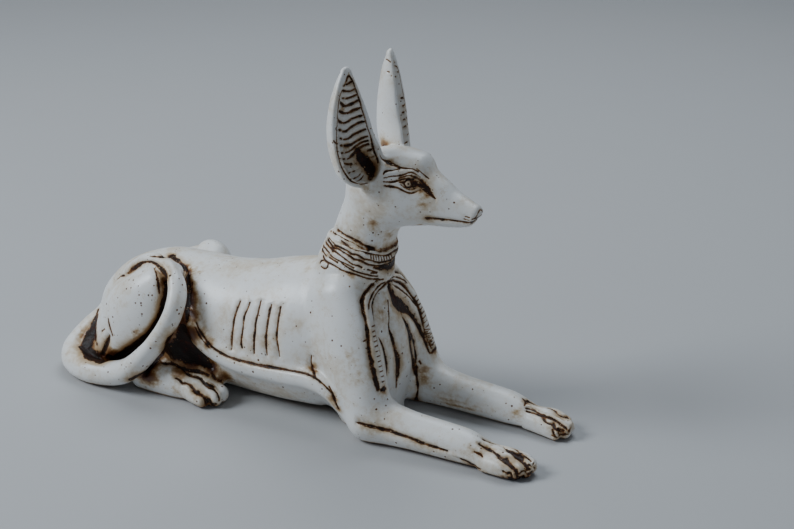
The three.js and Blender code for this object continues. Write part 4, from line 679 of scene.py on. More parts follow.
# Cut lines that lie on one side only.
singleLines = {
    "strapSpur": (0.5, [(55.6, -33.2, 61.8, 0.28), (56.7, -31.2, 62.4, 0.51)]),
    "vHollow": (1.6, [(51.8, 0.8, 85.1, 0.75), (53.2, 1.3, 81.2, 1.77), (55, 2.2, 76.9, 3.2),
        (56.8, 3.1, 73.2, 4.98), (57.8, 6, 70.1, 5), (58.1, 10.9, 66.2, 3.9), (58.5, 15, 62.2, 2.02),
        (59.4, 18.2, 57.7, 1.47), (60.6, 21, 52.7, 1.36), (63.7, 24.8, 42.3, 1.38),
        (65.7, 25.5, 35.9, 0.85), (66.8, 26.6, 32.8, 0.66)]),
    "farStrapLine": (0.5, [(52.2, 5.9, 81.8, 0.47), (52.4, 9.2, 79.4, 0.76), (52.8, 13.2, 76.6, 0.63),
        (54.1, 16.8, 73, 0.52), (55.8, 20, 69.3, 0.46), (56.9, 21.5, 66.5, 0.55),
        (58.1, 23.6, 63.4, 0.46)]),
    "farStrapMark": (0.4, [(55.5, 13, 71.1, 0.42), (55.3, 16.6, 70.5, 0.3)]),
    "farStrapMark2": (0.4, [(56.4, 15.5, 67.9, 0.35), (56.4, 17.5, 67.5, 0.24)]),
    "foldA": (0.9, [(59, -21.1, 60.1, 0.45), (59.6, -20, 57, 0.87), (60.4, -19, 53.1, 0.86),
        (62, -17.9, 41.1, 1.11), (62.4, -18.5, 37.6, 0.9), (63, -19.6, 35.1, 0.45)]),
    "foldB": (1.2, [(59, -10.5, 64.4, 0.18), (59.9, -11.2, 61.1, 0.44), (60.8, -10.9, 58.1, 0.71),
        (63.1, -9.9, 48.8, 1.24), (63.8, -9, 44.8, 1.62), (64, -8.5, 40.2, 1.82), (63.9, -8.1, 35.6, 1.87),
        (63.5, -8.2, 31.7, 1.31), (62.9, -7.7, 27.5, 0.68), (62.1, -6.6, 23, 0.31)]),
    "foldC": (1.2, [(59.4, 3.2, 67.8, 0.46), (60.9, 3.4, 63.9, 1.06), (63.2, 6, 54.6, 1.95),
        (64, 6, 49.7, 2.1), (64.4, 6.5, 44.5, 1.95), (63.7, 9.4, 37.4, 1.95), (61.8, 14, 30.5, 1.74),
        (61.3, 16.3, 24.9, 0.86), (61.6, 17, 21.5, 0.48)]),
    "foldD": (1, [(62.9, 7.6, 53.9, 1.05), (62.8, 10.9, 48.1, 1.65), (62.2, 14.3, 42.2, 1.35),
        (62.2, 17, 32, 0.5)]),
    "foldE": (0.2, [(55, -4.7, 76.3, 0.24), (57.2, -7.8, 70.4, 0.22), (59, -10.8, 63.9, 0.22)]),
    "farArmpit": (0.7, [(61.9, 15.7, 31.2, 0.96), (62, 17.4, 26.6, 0.7), (61.9, 17.2, 22.1, 0.49),
        (62.7, 16.9, 15.8, 0.48), (62.6, 17.1, 10.4, 0.43), (59.5, 21, 2.7, 1.26)]),
    "farArmSpot": (0.4, [(62.9, 18.9, 29.8, 0.73), (63.5, 19.7, 28.3, 0.6)]),
    "tailFlank": (1, [(-97.1, -27.6, 82.4, 0.39), (-91.5, -27.8, 83.6, 0.86), (-88.1, -25.4, 83.6, 1.65),
        (-96.9, -8.5, 76.3, 1.52), (-91.8, -10.3, 76, 1.51), (-86.5, -12.4, 75.1, 1.41),
        (-82.1, -14.4, 73.3, 1.34), (-76.4, -19.2, 71.7, 1.09), (-73.6, -22, 68.7, 1.15),
        (-70.9, -25.4, 64.6, 1.48), (-69, -28.6, 59.7, 1.52), (-64.7, -36.3, 53, 1.19),
        (-64.3, -38.4, 50, 1.05)]),
    "flankSpur": (0.4, [(-70.5, -22.1, 68.4, 0.43), (-69.4, -24.3, 66.1, 0.49),
        (-68.3, -26.3, 63.5, 0.29)]),
    "underTail": (0.6, [(-94.7, -53.9, 11.8, 2.4), (-92, -51.4, 13.4, 4.05), (-90.9, -45.9, 14.8, 2.06),
        (-88.8, -43.5, 17.6, 2.43), (-87.6, -39.9, 19.9, 2.25), (-87.1, -36.3, 22.1, 1.78),
        (-81.8, -38.8, 28.3, 1.9), (-71.5, -47.5, 38.1, 3), (-68.4, -47.2, 43.1, 2.85),
        (-69.3, -37.9, 46.1, 1.66)]),
    # The pools in the gap between the tail and the belly are painted shade: dark paint where the form is
    # shallower than the deep recess they stand for.
    "gapShadePool": (2.2, [(-66.2, -39.1, 46, 2.55), (-66.9, -37.6, 40.6, 6.69), (-67, -36.9, 35.8, 4.96),
        (-64.9, -37, 31.7, 5.81), (-61.1, -36.6, 27.7, 5.14), (-51.9, -34.3, 22.3, 2.11)]),
    "gapShadePoolB": (1.8, [(-70.9, -38.7, 35, 3.06), (-71.9, -39.8, 30.6, 5.09), (-67.9, -39.4, 27.3, 4.59),
        (-62.9, -38.3, 25.4, 3.08)]),
    "gapShadePoolC": (1.2, [(-78.9, -39.6, 28.3, 4.28), (-75, -40, 26.6, 3.57)]),
    "nearToeTips": (0.5, [(146.9, -38, 2.5, 1.31), (149.4, -37, 1.8, 2.43), (153.3, -36.4, 2.3, 1.99),
        (154.7, -31.5, 1.4, 2.85), (158, -31.1, 4, 1.28), (158.4, -26.1, 4.5, 1.53)]),
    "farToeTips": (0.5, [(150.9, 15.6, 4.3, 0.78), (154.1, 16.9, 4.2, 1.12), (156.5, 19.8, 4.8, 1.04),
        (159.1, 22.3, 6.5, 1.07), (158.8, 28.7, 6.8, 1.01)]),
    "recess": (0.6, [(-133.2, -16.7, 56.4, 0.31), (-128.3, -16.5, 59.7, 0.63), (-115.2, -27.3, 67.6, 0.73),
        (-112.6, -27.4, 70, 1.28), (-105.5, -28.1, 75.3, 1.15), (-102, -28.5, 77.4, 0.69),
        (-97.6, -29.2, 79.1, 0.55), (-92.8, -30.4, 79.7, 0.83), (-87.7, -32.3, 78.7, 1.53),
        (-83.2, -34.4, 77.4, 2.09), (-78.9, -37, 75.5, 2.54), (-81.3, -32.9, 69.1, 1.53),
        (-81.1, -34.1, 65, 1.9), (-81.6, -35.2, 60.1, 2.46), (-82.7, -35.9, 55, 2.7),
        (-84.1, -36.9, 49.8, 2.4), (-86.3, -37.9, 45.1, 2.3), (-90, -37.8, 39.7, 2.69),
        (-94, -38, 34.6, 3.59), (-98.5, -38.5, 30.2, 4.92), (-104.2, -38.6, 25.4, 4.92),
        (-110.7, -38.6, 20.8, 3.62), (-115.9, -39.3, 17.4, 3.25), (-121.1, -40.9, 14.6, 2.23),
        (-119.5, -49.4, 17, 3.45), (-124.5, -50, 16.5, 3.45), (-132.8, -45.9, 15, 5.1),
        (-141.6, -40.2, 14.1, 3.43), (-144.5, -36.9, 16.6, 4.86), (-145.9, -32.9, 20.3, 4.05),
        (-147, -28.7, 23.2, 3.34), (-148, -24.6, 26.3, 1.83), (-148.8, -21.1, 29.6, 0.88),
        (-150.1, -17.1, 32.7, 0.57)]),
    "recessStep": (0.4, [(-90.8, -31.8, 77.2, 0.36), (-87, -35, 75.2, 0.47), (-84.5, -37.1, 71.9, 0.6),
        (-83.5, -38.1, 68.6, 0.74), (-83.1, -38.3, 64.8, 0.54)]),
    "foldLeft": (0.5, [(-148.4, -20, 30.6, 0.47), (-146.3, -23.9, 27.1, 0.55), (-140.4, -31.7, 20.3, 0.58),
        (-134.3, -38.8, 19.7, 1.05)]),
    "foldMiddle": (0.35, [(-117.1, -46.6, 43.9, 0.43), (-115.7, -47.4, 39.8, 0.59),
        (-114.6, -47.6, 36.8, 0.57), (-113.7, -47.6, 33.7, 0.36)]),
    "foldGap": (1.5, [(-117, -47.2, 32.8, 0.58), (-118.6, -46.7, 29.6, 1.28), (-121.1, -46.1, 25.4, 1.86),
        (-123.5, -45.3, 21.2, 2.06), (-126.1, -44.3, 16.2, 1.38)]),
    "foldMark": (0.3, [(-124.6, -44.8, 33.3, 0.44), (-120.8, -46.2, 36.1, 0.36)]),
    "web": (0.7, [(-83.9, -39.7, 20.2, 0.64), (-79.5, -40.5, 20.2, 0.84), (-76, -40.1, 21, 0.74),
        (-71.8, -40.7, 20.8, 0.78), (-67.9, -41, 20.2, 0.78), (-63.8, -40.5, 19.6, 0.78),
        (-56.6, -38.3, 18.9, 0.84), (-53.7, -37.3, 18.5, 1.02), (-51.3, -36.7, 17.5, 1.08)]),
    "hindToeA": (1.3, [(-65.4, -41.5, 19.2, 0.36), (-62.8, -42, 18, 0.62), (-59.5, -41.6, 17.1, 0.71),
        (-56.5, -40.6, 16.5, 0.64), (-53.8, -40.4, 15.9, 0.63), (-49.2, -42.3, 13.7, 0.65),
        (-46.6, -42.5, 12.7, 0.61), (-44.1, -41, 12, 0.82), (-42.1, -40.7, 10.7, 0.87),
        (-40, -41.8, 9, 0.75), (-39.2, -41.9, 6, 0.85)]),
    "hindToeBlot": (0.6, [(-49.1, -41.4, 14.3, 0.97), (-46.8, -41.1, 13.6, 1.26),
        (-45.3, -39.6, 12.8, 1.13)]),
    "hindToeB": (1.5, [(-68.4, -46.2, 15.4, 0.42), (-65.8, -46.3, 14.8, 0.6), (-63.3, -46.7, 13.3, 0.66),
        (-60.8, -46.1, 13.7, 0.6), (-58.1, -45.8, 13.4, 0.78), (-55.4, -46.6, 12, 1.36),
        (-53.1, -47.4, 10.6, 1.66), (-50.8, -47, 10.1, 1.7), (-48, -46.9, 9.1, 1.39),
        (-46, -46.9, 6.8, 1.58), (-45.7, -46.4, 4, 1.77)]),
    "hindClaw": (0.7, [(-44.8, -45.4, 6.1, 0.72), (-43.3, -44.8, 3.1, 1.5), (-41.2, -44.1, 3.6, 0.84)]),
    "hindToeC": (1, [(-49.8, -35, 18.4, 0.71), (-48.2, -34.9, 16.1, 1.08), (-46.3, -34, 14.2, 1.13),
        (-45, -31.3, 12.7, 0.73)]),
    "wristSpot": (0.3, [(127.2, -36.2, 12.2, 0.28), (129.2, -35.9, 11.7, 0.66), (131.4, -35.8, 11, 0.72),
        (132.2, -36.2, 10.5, 0.33)]),
    "toeA": (1.5, [(128, -31.1, 15.1, 0.43), (133.3, -30.6, 13.3, 1.17), (136, -31.1, 12.7, 0.83),
        (139, -32.3, 11.9, 0.61), (142.1, -33.5, 11.4, 1.22), (144.8, -34.2, 11.2, 2.11),
        (147.5, -34.8, 10.7, 1.83), (149.8, -35.8, 9.6, 1.46), (152, -36.5, 8.3, 1.43),
        (153.5, -36.9, 6.6, 1.49), (153.8, -36.9, 4.2, 1.38)]),
    "toeB": (1.4, [(127.8, -25.1, 15.2, 1), (129.9, -23.7, 13.8, 0.9), (137.3, -21.1, 11.4, 0.9),
        (141.7, -25.3, 13, 0.65), (144, -26.2, 12.5, 1.16), (146.7, -26.8, 11.9, 1.41),
        (150.3, -28, 11.4, 2.95), (153.4, -29.4, 10.6, 1.69), (155.8, -30.5, 9.3, 1.41),
        (157.4, -31.3, 7.6, 1.43)]),
    "toeC": (0.8, [(144.8, -20.1, 10.8, 1.5), (148.8, -23.5, 12.3, 1.02), (151.7, -24.5, 11.5, 0.41),
        (156.6, -25.1, 9.1, 0.36)]),
    "clawA": (0.8, [(146.1, -39.2, 6.6, 0.41), (148.1, -38.8, 5.1, 1.02), (149.9, -38.3, 6.2, 0.73),
        (151.3, -38, 4.3, 1.09)]),
    "clawB": (0.7, [(154.8, -35.9, 5.5, 0.9), (155.7, -32.7, 6.3, 0.55), (156.9, -32, 3.9, 0.57)]),
    "clawC": (0.6, [(157.3, -28.7, 9.1, 0.95), (158.8, -28.4, 6.9, 0.55), (158.2, -24.8, 8.2, 0.35)]),
    "farToeA": (1.2, [(128.5, 29.3, 15.2, 0.86), (129.9, 32.1, 13.9, 1.65), (137.6, 35.1, 11.1, 1.2),
        (141.2, 33.9, 11.4, 1.03), (144.5, 33.8, 11.3, 1.19), (148.4, 30.6, 12, 1.99),
        (151.1, 30.1, 11.3, 2.09), (153, 33.2, 9.1, 1.58)]),
    "farToeB": (1.3, [(130.8, 24, 13.6, 0.51), (133.1, 25.2, 13.3, 0.91), (135.4, 25.6, 13, 1.39),
        (138.7, 23.9, 12.9, 0.86), (141.8, 22.7, 12.3, 0.82), (144.6, 22.2, 11.9, 0.76),
        (149.6, 22.1, 11.3, 0.93), (157.6, 21.3, 8.2, 1.04)]),
    "farToeC": (1.1, [(131.8, 22.4, 12.6, 0.4), (135.4, 22.9, 12.2, 0.52), (139.4, 22.5, 12.1, 0.54),
        (142.2, 21.9, 11.5, 0.63), (144.7, 19.8, 10.8, 1.01), (147.3, 19.1, 10.3, 0.97),
        (149.4, 19.9, 9.7, 1.3), (151.7, 17.6, 8.7, 1.25), (153.9, 18.5, 7.9, 1.48),
        (155.7, 19.9, 6.8, 1.16)]),
    "farWristCrack": (0.4, [(126.1, 29, 16.3, 0.53), (128.6, 27.8, 15.2, 0.62), (129.2, 24.6, 14.5, 0.4)]),
    "farClawA": (0.6, [(150.7, 16.5, 7.7, 0.81), (152.4, 15.7, 5.3, 0.97), (154.4, 17.4, 5.7, 0.94)]),
    "farClawB": (0.6, [(157.5, 20.3, 6.4, 0.75), (159.1, 23.7, 7.2, 0.94), (158.3, 29.1, 8.1, 0.65)]),
    "earNick": (0.3, [(42, -39.7, 178.3, 0.28), (42.7, -38.9, 176.9, 0.28)]),
    "farEarMark": (0.25, [(44.5, 18.1, 201.2, 0.22), (39.7, 31.3, 197, 0.26)]),
    "farEarMarkB": (0.2, [(39.4, 21, 209.5, 0.18), (41.4, 20.2, 209.1, 0.2), (42.8, 20.1, 208.4, 0.17)]),
    "farEarMarkC": (0.2, [(41.4, 18.7, 203.2, 0.17), (43, 18.5, 203.1, 0.19)]),
    "farRungA": (0.25, [(62.7, 26, 47.5, 0.22), (63, 28.5, 47.1, 0.22)]),
    "farRungB": (0.25, [(63.4, 26.4, 44.9, 0.22), (63.8, 29, 44.5, 0.22)]),
    "farRungC": (0.25, [(64.2, 26.6, 42.4, 0.22), (64.5, 29.2, 42, 0.22)]),
    "farRungD": (0.25, [(64.9, 26.6, 40, 0.22), (65.3, 29.1, 39.6, 0.22)]),
    "farRungE": (0.25, [(65.5, 26.5, 37.5, 0.22), (66, 28.9, 37.2, 0.21)]),
}

# Raised bands: how high they stand, and x, y, z and half the width along each.
pairedBands = {
    "strap": (0.9, [(52.8, -4.4, 88.7, 4.68), (50.5, -5.5, 86.5, 5.2), (49.9, -9.7, 84.9, 2.53),
        (49.5, -13.9, 83.4, 3.01), (49.8, -17.7, 81.5, 3.45), (50.6, -20.6, 79.4, 3.5),
        (52.1, -22.9, 76.2, 3.41), (55.9, -26.1, 68.2, 3.14), (57.6, -27.5, 63.9, 3.27),
        (60.6, -29.5, 54.8, 3.91), (62, -30.5, 50, 4.08), (63.6, -31.2, 44.4, 3.96),
        (65.1, -31.6, 39.4, 3.83), (66.2, -32, 36, 3.21)]),
    "collarBead": (1.3, [(19.9, -18.3, 96.3, 0.97), (21.5, -19.1, 96.4, 0.94)]),
    "cordUpper": (0.5, [(25.6, -15.9, 111.2, 1.53), (30.3, -18.3, 110.7, 1.38), (35.6, -19.5, 110, 1.05),
        (40.2, -19.4, 108.6, 0.98), (44, -18.3, 107.3, 0.93), (47.5, -16.4, 105.8, 0.98)]),
    "cordFront": (0.4, [(49.2, -14.9, 104.3, 1.38), (51.9, -11.9, 103.2, 1.55), (54.2, -7.8, 102.2, 1.75),
        (55.7, -2.5, 102.2, 2.11)]),
    "browBone": (0.5, [(60.9, -17.1, 156.2, 0.74), (68.1, -14.3, 157.9, 0.95), (71.5, -12.7, 158.6, 0.89),
        (74.5, -11.4, 158.9, 0.72)]),
    "lid": (0.35, [(64.3, -18.7, 151.7, 0.65), (70.5, -16.4, 152.6, 0.71)]),
}

# The claws, raised and free of paint.
claws = {
    "nearClawA": (0.7, [(147, -39, 4.9, 0.58), (147.4, -38.5, 3.5, 0.78), (147.3, -37, 1.5, 0.91)]),
    "nearClawB": (0.7, [(151.5, -37.9, 5.9, 0.51), (152.1, -37.8, 4.6, 0.6), (152.5, -37.3, 3.1, 0.46)]),
    "nearClawC": (0.7, [(155.8, -32.9, 5.5, 0.53), (156.5, -31.6, 2.3, 0.45)]),
    "nearClawD": (0.7, [(158, -30, 8.1, 0.59), (158.7, -29.3, 6.9, 0.79), (158.3, -25.9, 4.1, 0.91)]),
    "farClawA": (0.7, [(153, 16.2, 6.5, 0.52), (153.6, 16.4, 5.5, 0.57), (154.1, 16.9, 4.2, 0.42)]),
    "farClawB": (0.7, [(157.4, 20.4, 6.7, 0.52), (158.1, 20.7, 5.8, 0.57), (158.6, 21.4, 4.6, 0.41)]),
    "farClawC": (0.7, [(157.8, 27.9, 8.5, 0.73), (158.5, 27.9, 7.4, 0.87), (158.9, 28.4, 6, 0.91)]),
}

# Soft brown smudges, and a few of painted shade: x, y, z, radius and strength.
pairedSmudges = {
    "cheek": (82, -14, 140, 2.1, 0.75), "underEye": (83, -12, 146, 1.9, 0.8),
    "tearSide": (80, -12, 148, 1.5, 0.5), "jaw": (77, -8, 127, 1, 0.8), "jawB": (86, -5, 127, 0.8, 0.9),
    "throat": (51, -15, 126, 2.5, 0.8), "throatB": (52, -13, 122, 2.5, 0.5),
    "throatC": (56, -7, 116, 5, 0.45), "earRoot": (52, -25, 148, 3.7, 0.4),
    "earCup": (51, -14, 157, 4.3, 0.9), "earCupB": (45, -14, 161, 5, 0.6),
    "earCupC": (38, -20, 169, 2.5, 0.5), "earCupD": (37, -23, 191, 1.9, 0.5),
    "farEar": (52, 11, 169, 3.1, 0.45), "earCreaseEnd": (61, -13, 162, 2.5, 0.6),
    "armpit": (22, -34, 38, 3.7, 0.7), "elbow": (39, -41, 25, 4.3, 0.55), "elbowB": (42, -40, 19, 3.1, 0.5),
    "strapFoot": (67, -31, 33, 3.1, 0.6), "collarKnot": (27, -18, 107, 2.2, 0.8),
    "collarSide": (23, -18, 102, 1.9, 0.5)}

# Smudges that lie on one side only.
singleSmudges = {
    "chestV": (56, -14, 71, 4.3, 0.5), "chestVTop": (54, -7, 77, 3.7, 0.3),
    "farArmA": (65, 20, 24, 3.7, 0.7), "farArmB": (66, 19, 19, 4.3, 0.7),
    # The two smudges low on the far foreleg make it browner there, near the floor.
    "farLegLowSmudge": (89, 18, 8, 3.7, 0.9), "farLegLowSmudgeB": (82, 18, 9, 3.7, 0.5),
    "farWrist": (127, 19, 11, 3.4, 0.6), "farWristB": (129, 28, 15, 2.8, 0.7),
    "farKnuckle": (129, 19, 10, 0.8, 0.9), "armStreak": (50, -39, 56, 3.1, 0.45),
    "armStreakB": (52, -40, 49, 3.7, 0.4), "armStreakC": (56, -41, 41, 3.7, 0.3),
    "flank": (-61, -34, 52, 3.7, 0.85), "flankB": (-54, -38, 45, 3.7, 0.8),
    "flankC": (-48, -39, 40, 3.7, 0.7), "flankTop": (-81, -14, 74, 3.7, 0.6),
    "flankMid": (-67, -28, 60, 3.1, 0.6), "wrist": (125, -36, 13, 2.8, 0.5),
    "wristB": (129, -32, 14, 4.3, 0.35), "footTop": (-67, -43, 18, 5, 0.9),
    "footHeel": (-90, -47, 12, 5.6, 0.8), "footSide": (-67, -48, 8, 4.3, 0.4),
    "web": (-65, -39, 25, 7.4, 0.9), "thighLow": (-97, -46, 39, 3.1, 0.6),
    "thighEdge": (-83, -37, 69, 2.5, 0.7), "loopInner": (-151, -31, 20, 3.7, 0.6),
    "loopPool": (-142, -30, 22, 6.2, 1), "loopPoolB": (-142, -37, 17, 5, 1),
    "loopPoolC": (-117, -45, 21, 4.3, 0.9), "ankle": (-69, -43, 19, 4.3, 0.8),
    "flankG1": (-76, -18, 72, 3.1, 1.1), "flankG2": (-72, -23, 68, 3.1, 1.2),
    "flankG3": (-69, -26, 63, 3.4, 1.2), "flankG4": (-66, -29, 59, 3.7, 1.2),
    # The smudges in the gap between the tail and the belly are painted shade.
    "flankG5": (-64, -33, 54, 3.7, 1.3), "gapShadeA": (-60, -40, 44, 5, 1.5), "gapShadeB": (-72, -40, 29, 5.6, 1.5),
    "gapShadeC": (-62, -38, 24, 5.6, 1.3), "gapShadeD": (-50, -34, 21, 4.3, 1.3), "gapShadeE": (-44, -30, 16, 4.3, 1),
    "footShadow": (-87, -48, 12, 5, 1.3), "collarLow": (40, -20, 94, 2.5, 0.5)}

# The larger pinholes: x, y, z and radius.
pinholes = [
    (67.6, -18.6, 139.1, 0.44), (57.7, -20, 138.6, 0.44), (97.3, -6.3, 142.8, 0.55),
    (95.4, -8.7, 139.6, 0.42), (50.7, -13.9, 119.4, 0.55), (49.8, -13.4, 114.3, 0.55),
    (53, -11.8, 118, 0.44), (38.1, -16.9, 119.5, 0.44), (69.2, -30.6, 27.8, 0.55),
    (66.6, -38.7, 24.4, 0.61), (71.7, -38.5, 19.5, 0.44), (79.3, -38.8, 6.5, 0.61), (65, -38, 30.2, 0.5),
    (103.1, -38, 6.8, 0.44), (73, 18.6, 14.9, 0.55), (96.9, 21.7, 18.4, 0.5), (119.4, 20.2, 15.3, 0.42),
    (66.6, 21.7, 2.7, 0.44), (64.1, 23.3, 1.2, 0.44), (-120.9, -42.5, 51.6, 0.72),
    (-112.6, -47.3, 46.4, 0.61), (-93.6, -44.2, 63.6, 0.55), (-87.9, -42.6, 64, 0.5),
    (-85.8, -41.7, 64.1, 0.5), (-97.7, -34.6, 74.9, 0.5), (-95.5, -45.8, 58.6, 0.5),
    (-91.7, -45.2, 57.6, 0.5), (-110, -44.6, 58.6, 0.44), (-100.9, -39.8, 70.2, 0.5),
    (-105, -39, 69.2, 0.42), (-95.4, -42.2, 68.3, 0.42), (-100.5, -42.9, 66.3, 0.5),
    (-85.6, -39.8, 69.7, 0.44), (-74.8, -37.4, 77.5, 0.55), (-66.8, -36.5, 72.8, 0.61),
    (-69.6, -35.7, 75.9, 0.44), (-63.1, -46, 58.4, 0.66), (-63.6, -47, 61.1, 0.61),
    (-62.8, -44, 61.7, 0.44), (-70.8, -50.9, 39.7, 0.72), (-77.4, -56.8, 37.3, 0.66),
    (-85.2, -55.3, 23.3, 0.61), (-110.3, -58.1, 14.6, 0.55), (-100.2, -57.2, 21.3, 0.44),
    (-95.6, -58.5, 21.5, 0.42), (-73.7, -55.9, 42.1, 0.44), (-129.8, -56.4, 12.5, 0.42),
    (-23.4, -37.1, 42, 0.5), (-13.2, -37.9, 36.4, 0.72), (-10.6, -37.9, 41.1, 0.5),
    (-15.8, -40.3, 29.2, 0.66), (-28.9, -40.2, 31.9, 0.5), (-41.2, -40.3, 33.4, 0.55),
    (-17.7, -39.9, 32.4, 0.44), (-55.6, -28.9, 60.4, 0.61), (-59, -25.8, 64.7, 0.42),
    (-41.9, -35.6, 11.5, 0.55), (-50.6, -49.6, 5.6, 0.55), (41.3, -24.4, 88.9, 0.5), (62.9, -4.8, 25, 0.5),
    (55.4, -9.3, 73.1, 0.42)]

eye = {
    "centre": (73.5, -14.7, 152.1),
    "radius": 2.6,
    "bulge": 0.9,
    # the paint lies in rings: gaps from the centre, and how far inside the paint each is
    "ringGap": [0, 0.5, 0.7, 1.35, 1.6, 2.6],
    "ringPaint": [1.2, 0.9, -1.2, -1.2, 0.8, 0.8],
    "refineOut": 1.3,  # edges are split up to so many radii from the centre
}
finish = {
    "reach": 5.0,  # how far from a painted line it still counts
    # how far a line's stain spreads: always, and for each mm of half width; the half width of a full stain
    "stain": (0.7, 0.85, 2.2),
    "ridgeEdge": 1.1,
    "spread": 0.2,  # how much wider the paint is than its line
    "cutEdge": 0.35,  # how much wider than its paint a line is cut
    "waveHeight": 0.16,
    "waveLength": 11.0,
    "rippleHeight": 0.5,  # a second wave, in shares of the first
    "rippleLength": 0.45,
    "hollowHeights": (2.0, 4.5, 9.0),
    # The floor closes the open space too, so the skin near the floor takes more brown: painted shade.
    "groundShare": 0.4,  # how much of the open space over a point the ground is taken to leave
    "flatUnder": (0.5, 4.5),  # no carving below the first height, and all of it above the second
    "settleAbove": 0.4,
}


def folded(points):
    # the same place on the near side, where y is below zero
    return points * (1, -1, 1) * np.where(points[:, 1:2] > 0, 1, (1, -1, 1))


def bothPlaces(points, paired, single):
    # each row of a pair of tables with the points to look at: folded to the near side, or as they are
    near = folded(points)
    return [(row, near) for row in paired.values()] + [(row, points) for row in single.values()]


def besideLine(rows, place):
    # which points lie near a line, their gap to it, and its half width beside them
    rows = smoothRows(rows, 4)
    low, high = rows[:, :3].min(0) - finish["reach"], rows[:, :3].max(0) + finish["reach"]
    m = ((place > low) & (place < high)).all(1)
    along, gap = nearestOn(rows[:, :3], place[m])
    return m, np.sqrt(gap), np.interp(along, np.arange(len(rows)), rows[:, 3])


def paintAndCut(points):
    # paint is how far each point lies inside the nearest painted line or pinhole, below zero outside;
    # cut is the line's depth times e to the minus square of the gap over the half width;
    # stain is fuller and wider round a line the wider the line is
    paint = np.full(len(points), -finish["reach"])
    cut, stain = np.zeros(len(points)), np.zeros(len(points))
    always, each, full = finish["stain"]
    for (depth, rows), place in bothPlaces(points, pairedLines, singleLines):
        m, gap, half = besideLine(rows, place)
        half = half + finish["spread"]
        paint[m] = np.maximum(paint[m], half - gap)
        cut[m] = np.maximum(cut[m], depth * np.exp(-((gap / (half + finish["cutEdge"])) ** 2)))
        outside = np.maximum(gap - half, 0) / (always + each * half)
        stain[m] = np.maximum(stain[m], np.minimum(half / full, 1) * np.exp(-(outside**2)))
    for x, y, z, radius in pinholes:
        m = (np.abs(points - (x, y, z)) < finish["reach"]).all(1)
        paint[m] = np.maximum(paint[m], radius - np.linalg.norm(points[m] - (x, y, z), axis=1))
    gap = np.linalg.norm(folded(points) - eye["centre"], axis=1)
    m = gap < eye["radius"]
    paint[m] = np.interp(gap[m], eye["ringGap"], eye["ringPaint"])
    cut[m] -= eye["bulge"] * ease(1 - gap[m] / eye["radius"])
    return paint, cut, stain


def raised(points, paint):
    # each band stands its height over the form, and falls to nothing across the edge of its width;
    # the claws hold no paint, which is taken off here
    total = np.zeros(len(points))
    for (height, rows), place in bothPlaces(points, pairedBands, claws):
        m, gap, half = besideLine(rows, place)
        over = 1 - ease((gap - half) / min(finish["ridgeEdge"], height) + 0.5)
        if place is points:
            paint[m] = np.minimum(paint[m], gap - half)
        total[m] = np.maximum(total[m], height * over)
    return total


def smudgesAndShade(points):
    # each smudge fades from its strength to nothing as e to the minus square of the gap over its radius
    total = np.zeros(len(points))
    for (x, y, z, radius, strength), place in bothPlaces(points, pairedSmudges, singleSmudges):
        total = np.maximum(total, strength * np.exp(-((place - (x, y, z)) ** 2).sum(1) / radius**2))
    return total


def hollowAndFloorShade(points, outward):
    # how far the open space over the skin falls short of the height above it, at three heights; in the
    # hollows of the form this lays on the brown wash, and because the floor closes the space too, it darkens
    # the skin near the floor, which is painted shade
    total = np.zeros(len(points))
    for height in finish["hollowHeights"]:
        over = points + outward * height
        room = np.minimum(inChunks(formField, over), over[:, 2] + finish["groundShare"] * height)
        total += np.clip(1 - room / height, 0, 1) / len(finish["hollowHeights"])
    return total


def softNoise(points, size, seed):
    # random values on a lattice of the given spacing, eased between its corners, from -1 to 1
    values = np.random.default_rng(seed).uniform(-1, 1, (64, 64, 64))
    place = points / size + 512
    cell = np.floor(place).astype(int)
    t = ease(place - cell)
    total = np.zeros(len(points))
    for corner in np.ndindex(2, 2, 2):
        share = np.prod(np.where(corner, t, 1 - t), axis=1)
        total += share * values[tuple(((cell + corner) % 64).T)]
    return total


def waved(points):
    # a low wave and a ripple on it, as hand modelling leaves
    length = finish["waveLength"]
    ripple = softNoise(points, finish["rippleLength"] * length, 4)
    return finish["waveHeight"] * (softNoise(points, length, 3) + finish["rippleHeight"] * ripple)


def settle(points, rounds):
    # each point moves along its normal by the field's value there, until it lies on the form
    for _ in range(rounds):
        m = points[:, 2] > finish["settleAbove"]
        p = points[m]
        points[m] = p - inChunks(formField, p)[:, None] * slope(formField, p)
    points[:, 2] = np.maximum(points[:, 2], 0)
    return points


def makeMesh(name, points, faces):
    # a mesh from whole arrays of points and of faces with the same number of corners
    mesh = bpy.data.meshes.new(name)
    mesh.vertices.add(len(points))
    mesh.vertices.foreach_set("co", points.astype(np.float32).ravel())
    mesh.loops.add(faces.size)
    mesh.loops.foreach_set("vertex_index", faces.astype(np.int32).ravel())
    mesh.polygons.add(len(faces))
    mesh.polygons.foreach_set("loop_start", np.arange(0, faces.size, faces.shape[1], dtype=np.int32))
    mesh.update(calc_edges=True)
    mesh.validate()
    return mesh


def readPoints(mesh):
    # the mesh's points as rows of x, y, z
    flat = np.empty(len(mesh.vertices) * 3, np.float32)
    mesh.vertices.foreach_get("co", flat)
    return flat.reshape(-1, 3).astype(float)


def thinned(piece, count, keep):
    # Blender's Decimate, which leaves the points outside the group alone
    group = piece.vertex_groups.new(name="smooth")
    group.add(np.flatnonzero(~keep).tolist(), 1.0, "REPLACE")
    thin = piece.modifiers.new("thin", "DECIMATE")
    thin.ratio = count / (2 * len(piece.data.polygons))
    thin.vertex_group = group.name
    mesh = bpy.data.meshes.new_from_object(piece.evaluated_get(bpy.context.evaluated_depsgraph_get()))
    piece.modifiers.clear()
    piece.vertex_groups.clear()
    return mesh


def dropFlaps(shape):
    # two faces back to back on the same three points cancel out: both go, with the points that only they hold
    shape.verts.index_update()
    seen, flaps = {}, []
    for face in shape.faces:
        twin = seen.setdefault(frozenset(v.index for v in face.verts), face)
        if twin is not face:
            flaps += [face, twin]
    bmesh.ops.delete(shape, geom=flaps, context="FACES")


